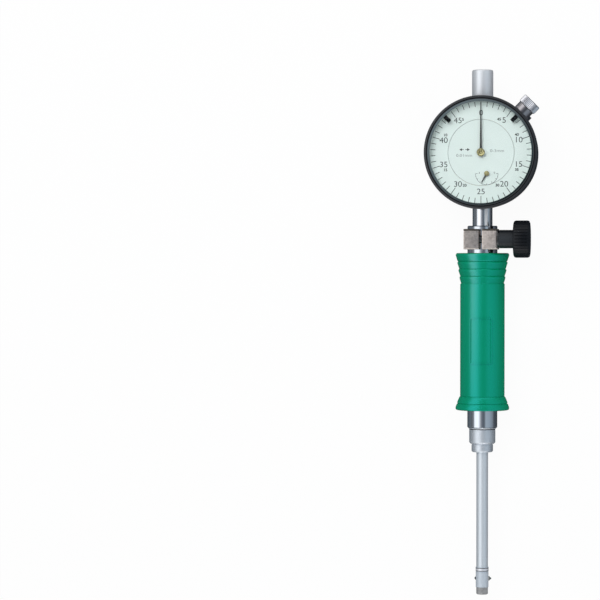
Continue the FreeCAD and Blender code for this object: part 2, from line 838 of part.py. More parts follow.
def make_push_rod():
    """Push rod with its button, collar, guide and return spring."""
    cone_top = rod_apex + s.rod_radius
    turned("push_rod", "Y", [
        (0, rod_apex), (s.rod_radius, cone_top), (s.rod_radius, rod_top), (0, rod_top),
    ])
    edge = s.rod_button_chamfer
    turned("rod_button", "Y", [
        (0, button_top),
        (s.rod_button_radius - edge, button_top),
        (s.rod_button_radius, button_top - edge),
        (s.rod_button_radius, button_bottom),
        (s.rod_radius, button_bottom),
        (s.rod_radius, rod_top),
        (0, rod_top),
    ])
    turned("rod_collar", "Y", ring_section(s.rod_radius, s.rod_collar_radius, collar_bottom, collar_top))
    turned("rod_guide_top", "Y", ring_section(
        s.rod_radius + s.running_fit, s.tube_bore_radius, guide_bottom, guide_top))
    shaped("return_spring", coil(
        s.return_spring_radius.number, s.return_spring_wire.number, s.return_spring_turns.number,
        collar_top.number + s.touch_gap.number, guide_bottom.number - s.touch_gap.number, 0, 0,
    ))


def coil(radius, wire, turns, low, top, x, z):
    """A coil spring of square wire about a line along Y, between two stations."""
    length = top - low - wire
    helix = Part.makeHelix(length / turns, length, radius)
    half = wire / 2
    corners = [(-half, -half), (half, -half), (half, half), (-half, half), (-half, -half)]
    profile = Part.makePolygon([Vector(radius + across, 0, along) for across, along in corners])
    upright = Part.Wire(helix).makePipeShell([profile], True, True)
    lie_down = Placement(Vector(x, low + half, z), Rotation(Vector(1, 0, 0), -90))
    return upright.transformGeometry(lie_down.toMatrix())


def make_contact():
    """Contact plunger with a ninety-degree cone inside and a ball in its nose."""
    nose_end = s.plunger_nose_end
    ball_centre = s.contact_tip - s.contact_ball_radius
    plunger = turned("contact_plunger", "X", [
        (0, -s.plunger_apex),
        (s.plunger_radius, -s.plunger_apex - s.plunger_radius),
        (s.plunger_radius, -s.plunger_shoulder),
        (s.plunger_nose_radius, -s.plunger_shoulder),
        (s.plunger_nose_radius, -ball_centre),
        (s.contact_ball_radius, -nose_end),
        (0, -nose_end),
    ], shift=(0, contact_line, 0))
    seat_sketch = new_sketch(plunger, "ball_seat", "XY_Plane")
    radius = s.contact_ball_radius
    circle = Part.Circle(Vector(-ball_centre.number, 0, 0), Vector(0, 0, 1), radius.number)
    arc = seat_sketch.addGeometry(Part.ArcOfCircle(circle, 0, math.pi), False)
    chord = seat_sketch.addGeometry(Part.LineSegment(
        Vector(-ball_centre.number - radius.number, 0, 0),
        Vector(-ball_centre.number + radius.number, 0, 0)), False)
    seat_sketch.addConstraint(Sketcher.Constraint("Coincident", arc, 2, chord, 1))
    seat_sketch.addConstraint(Sketcher.Constraint("Coincident", arc, 1, chord, 2))
    bind_point(seat_sketch, arc, 3, (-ball_centre, 0))
    bind_point(seat_sketch, arc, 1, (radius - ball_centre, 0))
    bind_point(seat_sketch, arc, 2, (None, 0))
    groove = plunger.newObject("PartDesign::Groove", "ball_seat_cut")
    groove.Profile = seat_sketch
    groove.ReferenceAxis = (seat_sketch, ["H_Axis"])
    groove.Angle = 360
    plunger.Tip = groove
    ball = primitive("Sphere", "contact_ball", {"Radius": radius})
    ball.Label = "contact_ball"
    seat(ball, shift=(-ball_centre, contact_line, 0))
    nodes.append(ball)


# Clamp: a split ring with two ears in front, drawn together by the thumb screw

def make_clamp_ring():
    ring = new_body("clamp_ring", shift=(0, clamp_middle, 0))
    half = s.clamp_half_width
    front = s.clamp_front_level
    sketch = new_sketch(ring, "clamp_outline", "XZ_Plane")
    corners = [(half, 0), (half, front), (-half, front), (-half, 0)]
    for start, end in zip(corners, corners[1:]):
        sketch.addGeometry(Part.LineSegment(flat(start), flat(end)), False)
    circle = Part.Circle(Vector(0, 0, 0), Vector(0, 0, 1), half.number)
    arc = sketch.addGeometry(Part.ArcOfCircle(circle, math.pi, 2 * math.pi), False)
    for index in range(2):
        sketch.addConstraint(Sketcher.Constraint("Coincident", index, 2, index + 1, 1))
    sketch.addConstraint(Sketcher.Constraint("Coincident", 2, 2, arc, 1))
    sketch.addConstraint(Sketcher.Constraint("Coincident", arc, 2, 0, 1))
    for index in range(3):
        bind_point(sketch, index, 1, corners[index])
    bind_point(sketch, arc, 3, (0, 0))
    bind_point(sketch, arc, 1, (None, 0))
    pad = extruded("Pad", ring, sketch, s.clamp_height, both=True)
    document.recompute()
    chamfer = ring.newObject("PartDesign::Chamfer", "clamp_edges")
    edges = []
    for number, edge in enumerate(pad.Shape.Edges, start=1):
        middle = edge.CenterOfMass
        is_straight = isinstance(edge.Curve, Part.Line)
        if is_straight and abs(middle.z - front.number) < 1e-6:
            edges.append("Edge%d" % number)
    chamfer.Base = (pad, edges)
    chamfer.Size = s.clamp_edge_chamfer.number
    chamfer.setExpression("Size", s.clamp_edge_chamfer.formula)
    ring.Tip = chamfer
    bore = circles(ring, "clamp_bore", "XZ_Plane", [(0, 0, s.tube_radius + s.touch_gap)])
    extruded("Pocket", ring, bore, 2 * s.clamp_height, both=True)
    slit = s.clamp_slit_width / 2
    cut = outline(ring, "clamp_slit", "XZ_Plane", [
        (-slit, 0), (slit, 0), (slit, 2 * front), (-slit, 2 * front),
    ])
    extruded("Pocket", ring, cut, 2 * s.clamp_height, both=True)
    screw = (0, s.clamp_screw_level, s.clamp_stud_radius + s.touch_gap)
    drill(ring, "clamp_screw_hole", "YZ_Plane", [screw], -2 * half, 4 * half)


def make_thumb_screw():
    """Washer, knob and stud, about the screw's own line through the ears."""
    place = {"shift": (0, clamp_middle, s.clamp_screw_level)}
    washer_near = s.clamp_half_width + s.touch_gap
    washer_far = washer_near + s.clamp_washer_thickness
    bore = s.clamp_stud_radius + s.running_fit
    turned("clamp_washer", "X", ring_section(
        bore, s.clamp_washer_radius, washer_near, washer_far), **place)

    neck_near = washer_far + s.touch_gap
    knob_near = neck_near + s.thumb_neck_length
    knob_far = knob_near + s.thumb_knob_length
    stud_end = neck_near + s.thumb_stud_depth
    bend = s.thumb_knob_round
    half_bend = bend * CORNER_SHARE
    root_radius = s.thumb_knob_radius - s.thumb_flute_depth
    blank = [
        (s.clamp_stud_radius, neck_near),
        (s.thumb_neck_radius - half_bend, neck_near),
        (s.thumb_neck_radius, neck_near + half_bend),
        (s.thumb_neck_radius, knob_near),
        (s.thumb_knob_radius - bend, knob_near),
        (s.thumb_knob_radius - half_bend, knob_near + half_bend),
        (s.thumb_knob_radius, knob_near + bend),
        (s.thumb_knob_radius, knob_far - bend),
        (s.thumb_knob_radius - half_bend, knob_far - half_bend),
        (s.thumb_knob_radius - bend, knob_far),
        (0, knob_far),
        (0, stud_end),
        (s.clamp_stud_radius, stud_end),
    ]
    knob = turned("thumb_knob", "X", blank, **place)
    flute_width = s.thumb_knob_radius * (math.pi / int(s.thumb_flute_count.number)) * 0.5
    flute = outline(knob, "thumb_flute", "YZ_Plane", [
        (-flute_width, s.thumb_knob_radius + flute_width),
        (0, root_radius),
        (flute_width, s.thumb_knob_radius + flute_width),
    ], lift=knob_near - bend)
    cut = extruded("Pocket", knob, flute, s.thumb_knob_length + 2 * bend)
    pattern = knob.newObject("PartDesign::PolarPattern", "thumb_flutes")
    pattern.Originals = [cut]
    pattern.Axis = (flute, ["N_Axis"])
    pattern.Angle = 360
    pattern.Occurrences = int(s.thumb_flute_count.number)
    pattern.setExpression("Occurrences", s.thumb_flute_count.formula)
    knob.Tip = pattern

    far_ear = -(s.clamp_half_width - s.clamp_edge_chamfer)
    turned("clamp_stud", "X", [
        (0, far_ear),
        (s.clamp_stud_radius, far_ear),
        (s.clamp_stud_radius, stud_end),
        (0, stud_end),
    ], **place)


# Indicator: case, covers, stem and cap

def make_case():
    groove_low = s.snap_ring_level - s.end_play
    groove_top = s.snap_ring_level + s.snap_ring_thickness + s.end_play
    groove_radius = snap_ring_inner_radius - s.end_play
    case = turned("indicator_case", "Z", [
        (case_bore_radius, cover_top),
        (s.case_radius, cover_top),
        (s.case_radius, s.case_top_level),
        (spigot_radius, s.case_top_level),
        (spigot_radius, groove_low),
        (groove_radius, groove_low),
        (groove_radius, groove_top),
        (spigot_radius, groove_top),
        (spigot_radius, spigot_top),
        (spigot_bore_radius, spigot_top),
        (spigot_bore_radius, ledge),
        (case_bore_radius, ledge),
    ])
    wall = 2 * s.case_radius
    spindle_hole = (0, 0, s.bush_radius)
    drill(case, "stem_hole", "XZ_Plane", [(0, 0, s.stem_radius)], wall_seat_reach, wall)
    drill(case, "spindle_hole_low", "XZ_Plane", [spindle_hole], 0, wall)
    drill(case, "cap_neck_hole", "XZ_Plane", [(0, 0, s.cap_neck_radius)], -wall_seat_reach, wall, up=False)
    drill(case, "spindle_hole_top", "XZ_Plane", [spindle_hole], 0, wall, up=False)
    drill(case, "cap_seat", "XZ_Plane", [(0, 0, s.cap_radius + s.touch_gap)], -cap_seat_reach, wall, up=False)
    screws = [(x, y, s.cover_screw_radius) for x, y in cover_screw_places()]
    drill(case, "cover_screw_holes", "XY_Plane", screws, cover_top, s.cover_screw_length + s.cover_thickness)
    hole = new_sketch(case, "bracket_screw_hole", "YZ_Plane")
    hole.AttachmentOffset = Placement(
        Vector(0, 0, 0), Rotation(Vector(0, 1, 0), s.lock_angle.number)
    )
    hole.setExpression("AttachmentOffset.Rotation.Angle", s.lock_angle.formula)
    radius = s.bracket_screw_radius
    level = s.bracket_screw_level
    circle = hole.addGeometry(
        Part.Circle(Vector(0, level.number, 0), Vector(0, 0, 1), radius.number), False
    )
    number = hole.addConstraint(Sketcher.Constraint("Radius", circle, radius.number))
    hole.setExpression("Constraints[%d]" % number, radius.formula)
    bind_point(hole, circle, 3, (0, level))
    extruded("Pocket", case, hole, wall)


def cover_screw_places():
    """Screws in the middle of the case's wall, clear of the stem and the cap."""
    circle = (s.case_radius + case_bore_radius) / 2
    count = int(s.cover_screw_count.number)
    return [polar(circle, s.cover_screw_angle + 360 * index / count) for index in range(count)]


def pillar_places():
    count = int(s.pillar_count.number)
    return [polar(pillar_circle_radius, s.pillar_angle + 360 * index / count) for index in range(count)]


def make_back_cover():
    chamfer = s.case_edge_chamfer
    register_radius = case_bore_radius - s.touch_gap
    cover = turned("back_cover", "Z", [
        (0, cover_low),
        (s.case_radius - chamfer, cover_low),
        (s.case_radius, cover_low + chamfer),
        (s.case_radius, cover_top),
        (register_radius, cover_top),
        (register_radius, cover_top + s.cover_register_height),
        (register_radius - s.cover_thickness, cover_top + s.cover_register_height),
        (register_radius - s.cover_thickness, cover_top),
        (0, cover_top),
    ])
    sink = s.cover_screw_head_radius - s.cover_screw_radius
    shanks = [(x, y, s.cover_screw_radius) for x, y in cover_screw_places()]
    heads = [(x, y, s.cover_screw_head_radius) for x, y in cover_screw_places()]
    drill(cover, "screw_holes", "XY_Plane", shanks, cover_low, s.cover_thickness)
    drill(cover, "screw_head_seats", "XY_Plane", heads, cover_low, sink)
    screws = []
    for index, (x, y) in enumerate(cover_screw_places()):
        head = primitive("Cylinder", "cover_screw_head_%d" % index, {
            "Radius": s.cover_screw_head_radius, "Height": sink - s.cover_screw_sink,
        }, shift=(x, y, cover_low + s.cover_screw_sink))
        shank = primitive("Cylinder", "cover_screw_shank_%d" % index, {
            "Radius": s.cover_screw_radius,
            "Height": s.cover_thickness - sink + s.cover_screw_length,
        }, shift=(x, y, cover_low + sink))
        screw = document.addObject("Part::Fuse", "cover_screw_%d" % index)
        screw.Base = head
        screw.Tool = shank
        screws.append(screw)
    grouped("back_cover_screws", screws)


def make_stem_and_cap():
    edge = s.tube_top_chamfer
    turned("stem", "Y", [
        (s.bush_radius, -wall_seat_reach),
        (s.stem_radius, -wall_seat_reach),
        (s.stem_radius, stem_bottom + edge),
        (s.stem_radius - edge, stem_bottom),
        (s.bush_radius, stem_bottom),
    ])
    cap_top = cap_seat_reach + s.cap_length
    bush_top = wall_seat_reach + s.bush_length
    turned("spindle_cap", "Y", [
        (s.bush_radius, wall_seat_reach),
        (s.cap_neck_radius, wall_seat_reach),
        (s.cap_neck_radius, cap_seat_reach),
        (s.cap_radius, cap_seat_reach),
        (s.cap_radius, cap_top - s.cap_edge_chamfer),
        (s.cap_radius - s.cap_edge_chamfer, cap_top),
        (0, cap_top),
        (0, cap_top - s.cap_end_wall),
        (s.bush_radius, cap_top - s.cap_end_wall),
    ])
    bush_bore = s.spindle_radius + s.running_fit
    turned("spindle_bush_upper", "Y", ring_section(
        bush_bore, s.bush_radius, wall_seat_reach, bush_top))
    turned("spindle_bush_lower", "Y", ring_section(
        bush_bore, s.bush_radius, stem_bottom, stem_bottom + s.bush_length))


def make_plates():
    """Bridge plate on the case's ledge, front plate with the dial's land, their pillars and screws."""
    counter = (s.counter_x, counter_y)
    centre = (as_size(0), as_size(0))
    middle = (middle_x, middle_y)
    take_up = (take_up_x, take_up_y)
    shaft_hole = s.arbor_radius + s.running_fit
    pivot_hole = s.pivot_radius + s.running_fit
    pillar_holes = [(x, y, s.plate_screw_radius) for x, y in pillar_places()]

    bridge = turned("bridge_plate", "Z", ring_section(0, spigot_bore_radius, ledge, bridge_top))
    pivots = [(*place, pivot_hole) for place in (centre, middle, take_up)]
    posts = [(-s.spring_line_x, -spring_post_reach, s.spring_post_radius), stud_disc()]
    discs = pivots + [(*counter, shaft_hole)] + pillar_holes + posts
    drill(bridge, "bridge_holes", "XY_Plane", discs, ledge, s.plate_thickness)

    front = turned("front_plate", "Z", [
        (0, front_low),
        (spigot_bore_radius, front_low),
        (spigot_bore_radius, front_top),
        (dial_land_radius, front_top),
        (dial_land_radius, dial_low),
        (0, dial_low),
    ])
    pivots = [(*place, pivot_hole) for place in (middle, take_up)]
    shafts = [(*place, shaft_hole) for place in (centre, counter)]
    drill(front, "front_holes", "XY_Plane", pivots + shafts + pillar_holes, front_low,
          dial_low - front_low)

    pillars = []
    screws = []
    for index, (x, y) in enumerate(pillar_places()):
        pillars.append(primitive("Cylinder", "pillar_%d" % index, {
            "Radius": s.pillar_radius, "Height": s.plate_room,
        }, shift=(x, y, bridge_top)))
    grouped("plate_pillars", hollow(pillars, pillar_places()))
    for index, (x, y) in enumerate(pillar_places()):
        head = primitive("Cylinder", "plate_screw_head_%d" % index, {
            "Radius": s.plate_screw_head_radius,
            "Height": s.plate_screw_head_height,
        }, shift=(x, y, front_top))
        shank = primitive("Cylinder", "plate_screw_shank_%d" % index, {
            "Radius": s.plate_screw_radius, "Height": front_top - ledge,
        }, shift=(x, y, ledge))
        screw = document.addObject("Part::Fuse", "plate_screw_%d" % index)
        screw.Base = head
        screw.Tool = shank
        screws.append(screw)
    grouped("plate_screws", screws)


def hollow(pillars, places):
    """The pillars, each bored for its screw."""
    bored = []
    for index, (pillar, (x, y)) in enumerate(zip(pillars, places)):
        bore = primitive("Cylinder", "pillar_bore_%d" % index, {
            "Radius": s.plate_screw_radius, "Height": s.plate_room,
        }, shift=(x, y, bridge_top))
        cut = document.addObject("Part::Cut", "bored_pillar_%d" % index)
        cut.Base = pillar
        cut.Tool = bore
        bored.append(cut)
    return bored


def stud_disc():
    """Where the hairspring's outer end is held, beyond its last turn."""
    beyond = s.hairspring_outer_radius + s.hairspring_strip / 2 + s.pivot_radius + s.touch_gap
    x, y = polar(beyond, 90, (take_up_x, take_up_y))
    return x, y, s.pivot_radius


def make_dial():
    """The dial's fixed middle and the scale ring that turns with the bezel."""
    seam = s.touch_gap
    middle = turned("dial_centre", "Z", ring_section(0, dial_seam_radius - seam, dial_low, dial_top))
    hole = s.arbor_radius + s.hand_hole_gap
    drill(middle, "hand_holes", "XY_Plane", [(0, 0, hole), (s.counter_x, counter_y, hole)], dial_low,
          s.dial_thickness)
    turned("scale_ring", "Z", ring_section(dial_seam_radius + seam, bezel_bore_radius, dial_low, dial_top))
    turned("dial_seat_ring", "Z", ring_section(bezel_opening_radius, bezel_bore_radius, dial_top, glass_low))
    turned("crystal", "Z", ring_section(0, bezel_bore_radius, glass_low, glass_top))


def make_bezel():
    groove_low = s.snap_ring_level - s.end_play
    groove_top = s.snap_ring_level + s.snap_ring_thickness + s.end_play
    groove_radius = snap_ring_outer_radius + s.end_play
    edge = s.case_edge_chamfer
    turned("bezel", "Z", [
        (bezel_bore_radius, skirt_low),
        (s.case_radius, skirt_low),
        (s.case_radius, dial_low),
        (bezel_radius, dial_low),
        (bezel_radius, bezel_top - s.bezel_step_depth - edge),
        (bezel_radius - edge, bezel_top - s.bezel_step_depth),
        (bezel_step_radius, bezel_top - s.bezel_step_depth),
        (bezel_step_radius, bezel_top),
        (bezel_mouth_radius, bezel_top),
        (bezel_opening_radius, glass_top),
        (bezel_bore_radius, glass_top),
        (bezel_bore_radius, groove_top),
        (groove_radius, groove_top),
        (groove_radius, groove_low),
        (bezel_bore_radius, groove_low),
    ])


def make_snap_ring():
    low = s.snap_ring_level
    ring = turned("snap_ring", "Z", ring_section(
        snap_ring_inner_radius, snap_ring_outer_radius, low, low + s.snap_ring_thickness))
    half = s.snap_ring_gap / 2
    reach = 2 * snap_ring_outer_radius
    gap = outline(ring, "ring_gap", "XY_Plane", [(-half, 0), (-half, -reach), (half, -reach), (half, 0)])
    extruded("Pocket", ring, gap, reach)


# Limit markers: a tab with a narrowed tip over the scale, on a shoe that runs round inside the bezel

def make_limit_marker(label, angle):
    outer = bezel_opening_radius - s.running_fit
    inner = outer - s.marker_shoe_depth
    half = s.marker_width / 2
    wide = primitive("Cylinder", label + "_wide", {
        "Radius": outer, "Height": s.marker_thickness, "Angle": s.marker_shoe_angle,
    }, shift=(0, 0, marker_low), angle=as_size(90) - s.marker_shoe_angle / 2)
    core = primitive("Cylinder", label + "_core", {
        "Radius": inner, "Height": s.marker_thickness,
    }, shift=(0, 0, marker_low))
    shoe = document.addObject("Part::Cut", label + "_shoe")
    shoe.Base = wide
    shoe.Tool = core
    tab_end = marker_inner_radius + s.marker_tip_length
    tab = primitive("Box", label + "_tab", {
        "Length": s.marker_width,
        "Width": outer - s.marker_shoe_depth / 2 - tab_end,
        "Height": s.marker_thickness,
    }, shift=(-half, tab_end, marker_low))
    tip = primitive("Wedge", label + "_tip", {
        "Xmin": -s.marker_tip_width / 2, "Xmax": s.marker_tip_width / 2,
        "X2min": -half, "X2max": half,
        "Ymin": as_size(0), "Ymax": s.marker_tip_length,
        "Zmin": as_size(0), "Zmax": s.marker_thickness,
        "Z2min": as_size(0), "Z2max": s.marker_thickness,
    }, shift=(0, marker_inner_radius, marker_low))
    fused(label, [shoe, tab, tip], angle=angle)


# Bezel lock: a bracket on the case, with a shoe that its knurled screw presses on the bezel's skirt

def make_bezel_lock():
    place = {"angle": s.lock_angle}
    screw_place = {"angle": s.lock_angle, "shift": (0, 0, s.lock_level)}
    half = s.lock_neck_radius
    skirt_clear = s.case_radius + s.lock_bezel_gap
    foot_out = s.case_radius + s.lock_foot_thickness
    neck_start = bezel_radius + s.lock_bezel_gap
    bracket = new_body("lock_bracket", **place)
    foot = outline(bracket, "bracket_foot", "XY_Plane", [
        (case_bore_radius, -half), (foot_out, -half), (foot_out, half), (case_bore_radius, half),
    ], lift=s.lock_foot_low_level)
    extruded("Pad", bracket, foot, s.lock_level - s.lock_foot_low_level)
    boss = circles(bracket, "bracket_boss", "YZ_Plane", [(0, s.lock_level, half)], lift=neck_start)
    extruded("Pad", bracket, boss, lock_neck_end - neck_start)
    drill(bracket, "case_seat", "XY_Plane", [(0, 0, s.case_radius)],
          2 * s.lock_foot_low_level, s.case_top_level - 2 * s.lock_foot_low_level)
    drill(bracket, "skirt_relief", "XY_Plane", [(0, 0, skirt_clear)], s.case_top_level, s.lock_level)
    shoe_room = s.case_radius + s.touch_gap + s.lock_shoe_thickness + s.lock_travel + s.touch_gap
    drill(bracket, "shoe_bore", "YZ_Plane", [(0, s.lock_level, s.lock_shoe_radius + s.touch_gap)],
          0, shoe_room)
    drill(bracket, "stud_bore", "YZ_Plane", [(0, s.lock_level, s.lock_stud_radius + s.touch_gap)],
          0, 2 * lock_neck_end)
    drill(bracket, "screw_bore", "YZ_Plane", [(0, s.bracket_screw_level, s.bracket_screw_radius)],
          0, 2 * lock_neck_end)
    head_seat = foot_out - s.bracket_screw_head_height
    drill(bracket, "screw_head_seat", "YZ_Plane", [(0, s.bracket_screw_level, s.bracket_screw_head_radius)],
          head_seat, lock_neck_end)

    turned("bracket_screw", "X", [
        (0, case_bore_radius + s.lock_foot_thickness / 2),
        (s.bracket_screw_radius, case_bore_radius + s.lock_foot_thickness / 2),
        (s.bracket_screw_radius, head_seat),
        (s.bracket_screw_head_radius, head_seat),
        (s.bracket_screw_head_radius, foot_out - s.touch_gap),
        (0, foot_out - s.touch_gap),
    ], angle=s.lock_angle, shift=(0, 0, s.bracket_screw_level))

    shoe_near = s.case_radius + s.touch_gap
    shoe_far = shoe_near + s.lock_shoe_thickness
    turned("lock_shoe", "X", [
        (0, shoe_near), (s.lock_shoe_radius, shoe_near), (s.lock_shoe_radius, shoe_far), (0, shoe_far),
    ], **screw_place)
    stud_near = shoe_far + s.touch_gap
    knob_near = lock_neck_end + s.touch_gap
    knob_far = knob_near + s.lock_knob_length
    edge = s.lock_knob_chamfer
    turned("lock_screw", "X", [
        (0, stud_near),
        (s.lock_stud_radius, stud_near),
        (s.lock_stud_radius, knob_near),
        (s.lock_knob_radius - edge, knob_near),
        (s.lock_knob_radius, knob_near + edge),
        (s.lock_knob_radius, knob_far - edge),
        (s.lock_knob_radius - edge, knob_far),
        (0, knob_far),
    ], **screw_place)


# Spindle with its rack, and the rail that keeps it from turning

def tooth_angle(teeth, pitch_radius, radius):
    """Half the angle that an involute tooth takes up at a radius."""
    pressure = math.radians(s.pressure_angle.number)
    base = pitch_radius * math.cos(pressure)
    here = math.acos(min(1.0, base / radius))
    spread = math.tan(pressure) - pressure - (math.tan(here) - here)
    half_pitch = math.pi / (2 * teeth) - s.tooth_backlash.number / (2 * pitch_radius)
    return half_pitch + spread


def gear(teeth, pitch_radius, module, low, top, middle, phase, bore=0.0):
    """A spur gear about Z, with a tooth's centre at the phase angle and flanks drawn straight."""
    tip_radius = pitch_radius + TOOTH_RISE * module
    root_radius = pitch_radius - TOOTH_DEPTH * module
    at_tip = tooth_angle(teeth, pitch_radius, tip_radius)
    at_pitch = tooth_angle(teeth, pitch_radius, pitch_radius)
    growth = (at_pitch - at_tip) / (tip_radius - pitch_radius)
    at_root = at_pitch + growth * (pitch_radius - root_radius)
    points = []
    for tooth in range(teeth):
        centre = phase + 2 * math.pi * tooth / teeth
        for radius, offset in (
            (root_radius, -at_root), (tip_radius, -at_tip), (tip_radius, at_tip), (root_radius, at_root),
        ):
            angle = centre + offset
            points.append(Vector(
                middle[0] + radius * math.cos(angle), middle[1] + radius * math.sin(angle), low))
    face = Part.Face(Part.makePolygon(points + [points[0]]))
    wheel = face.extrude(Vector(0, 0, top - low))
    if bore:
        wheel = wheel.cut(Part.makeCylinder(bore, top - low, Vector(middle[0], middle[1], low)))
    return wheel


def meshed_phase(phase, radius, line, other_radius, pitch):
    """The phase of a gear that meshes with one of the given phase, along the line between their centres."""
    return line + math.pi - (radius * (phase - line) + pitch / 2) / other_radius


def make_spindle():
    radius = s.spindle_radius.number
    low = spindle_bottom.number
    spindle = Part.makeCylinder(
        radius, spindle_top.number - low, Vector(0, low, 0), Vector(0, 1, 0))
    module = s.rack_pitch.number / math.pi
    slope = math.tan(math.radians(s.pressure_angle.number))
    pitch_line = rack_pitch_line.number
    tip = pitch_line + TOOTH_RISE * module
    root_line = pitch_line - TOOTH_DEPTH * module
    half_gap = s.rack_pitch.number / 4 + s.tooth_backlash.number / 4
    teeth = int(s.rack_teeth.number)
    start = counter_y.number - s.rack_pitch.number * (teeth // 2)
    flat_length = s.rack_pitch.number * teeth
    spindle = spindle.cut(Part.makeBox(
        radius, flat_length, 2 * radius, Vector(tip, start, -radius)))
    for index in range(teeth):
        centre = start + s.rack_pitch.number * (index + 0.5)
        corners = [
            (tip + module, half_gap + slope * (tip + module - pitch_line)),
            (root_line, half_gap - slope * (pitch_line - root_line)),
        ]
        points = [Vector(x, centre - half, -radius) for x, half in corners]
        points += [Vector(x, centre + half, -radius) for x, half in reversed(corners)]
        gap = Part.Face(Part.makePolygon(points + [points[0]])).extrude(Vector(0, 0, 2 * radius))
        spindle = spindle.cut(gap)
    pin = Part.makeCylinder(
        s.guide_pin_radius.number, radius, Vector(0, guide_pin_reach.number, 0), Vector(-1, 0, 0))
    stud = Part.makeCylinder(
        s.point_stud_radius.number, s.point_stud_length.number, Vector(0, low, 0), Vector(0, 1, 0))
    shaped("spindle", spindle.cut(pin).cut(stud))

    turned("spindle_guide_pin", "X", [
        (0, -s.guide_pin_length),
        (s.guide_pin_radius, -s.guide_pin_length),
        (s.guide_pin_radius, 0),
        (0, 0),
    ], shift=(0, guide_pin_reach, 0))

    stud_top = spindle_bottom + s.point_stud_length
    collar_low = spindle_bottom - s.point_collar_length
    ball_along = point_bottom + s.point_ball_radius
    turned_with_ball("contact_point", "Y", [
        (0, stud_top),
        (s.point_stud_radius, stud_top),
        (s.point_stud_radius, spindle_bottom),
        (s.point_collar_radius, spindle_bottom),
        (s.point_collar_radius, collar_low),
        (s.point_ball_radius, ball_along),
    ], s.point_ball_radius, ball_along, -1)


def make_guide_rail():
    """A slotted block under the bridge plate, for the spindle's guide pin."""
    rail = new_body("guide_rail")
    slot = s.guide_pin_radius + s.running_fit
    low = guide_pin_reach - s.spindle_stroke
    top = guide_pin_reach + 2 * s.spindle_stroke
    bottom = -slot - s.guide_rail_wall
    block = outline(rail, "rail_block", "XY_Plane", [
        (-s.guide_rail_far, low), (-s.guide_rail_near, low),
        (-s.guide_rail_near, top), (-s.guide_rail_far, top),
    ], lift=bottom)
    extruded("Pad", rail, block, ledge - bottom)
    channel = outline(rail, "rail_slot", "XY_Plane", [
        (-s.guide_rail_far, low + s.spindle_stroke - slot - s.end_play),
        (0, low + s.spindle_stroke - slot - s.end_play),
        (0, top - s.spindle_stroke + slot + s.end_play),
        (-s.guide_rail_far, top - s.spindle_stroke + slot + s.end_play),
    ], lift=-slot)
    extruded("Pocket", rail, channel, 2 * slot)


def make_rear_bracket():
    """The rear bearing of the counter's arbor, hung from the bridge plate past the rack."""
    bracket = new_body("rear_bracket", shift=(0, counter_y, 0))
    top_of_arm = -s.rear_bearing_drop
    low_of_arm = top_of_arm - s.rear_bearing_thickness
    near = s.counter_x - s.rear_bracket_wall
    upright = s.counter_x + rack_pinion_radius + s.rear_bracket_inset
    foot = upright + 2 * s.rear_bracket_wall
    profile = outline(bracket, "bracket_profile", "XZ_Plane", [
        (near, low_of_arm),
        (upright + s.rear_bracket_wall, low_of_arm),
        (upright + s.rear_bracket_wall, ledge - s.rear_bearing_thickness),
        (foot, ledge - s.rear_bearing_thickness),
        (foot, ledge),
        (upright, ledge),
        (upright, top_of_arm),
        (near, top_of_arm),
    ])
    extruded("Pad", bracket, profile, s.rear_bracket_width, both=True)
    hole = (s.counter_x, 0, s.pivot_radius + s.running_fit)
    drill(bracket, "rear_pivot_hole", "XY_Plane", [hole], low_of_arm, s.rear_bearing_thickness)


def arbor(sections, middle):
    """A stepped arbor about Z, from (radius, low, top) steps."""
    steps = [
        Part.makeCylinder(radius, top - low, Vector(middle[0], middle[1], low))
        for radius, low, top in sections
    ]
    return steps[0].fuse(steps[1:]).removeSplitter()


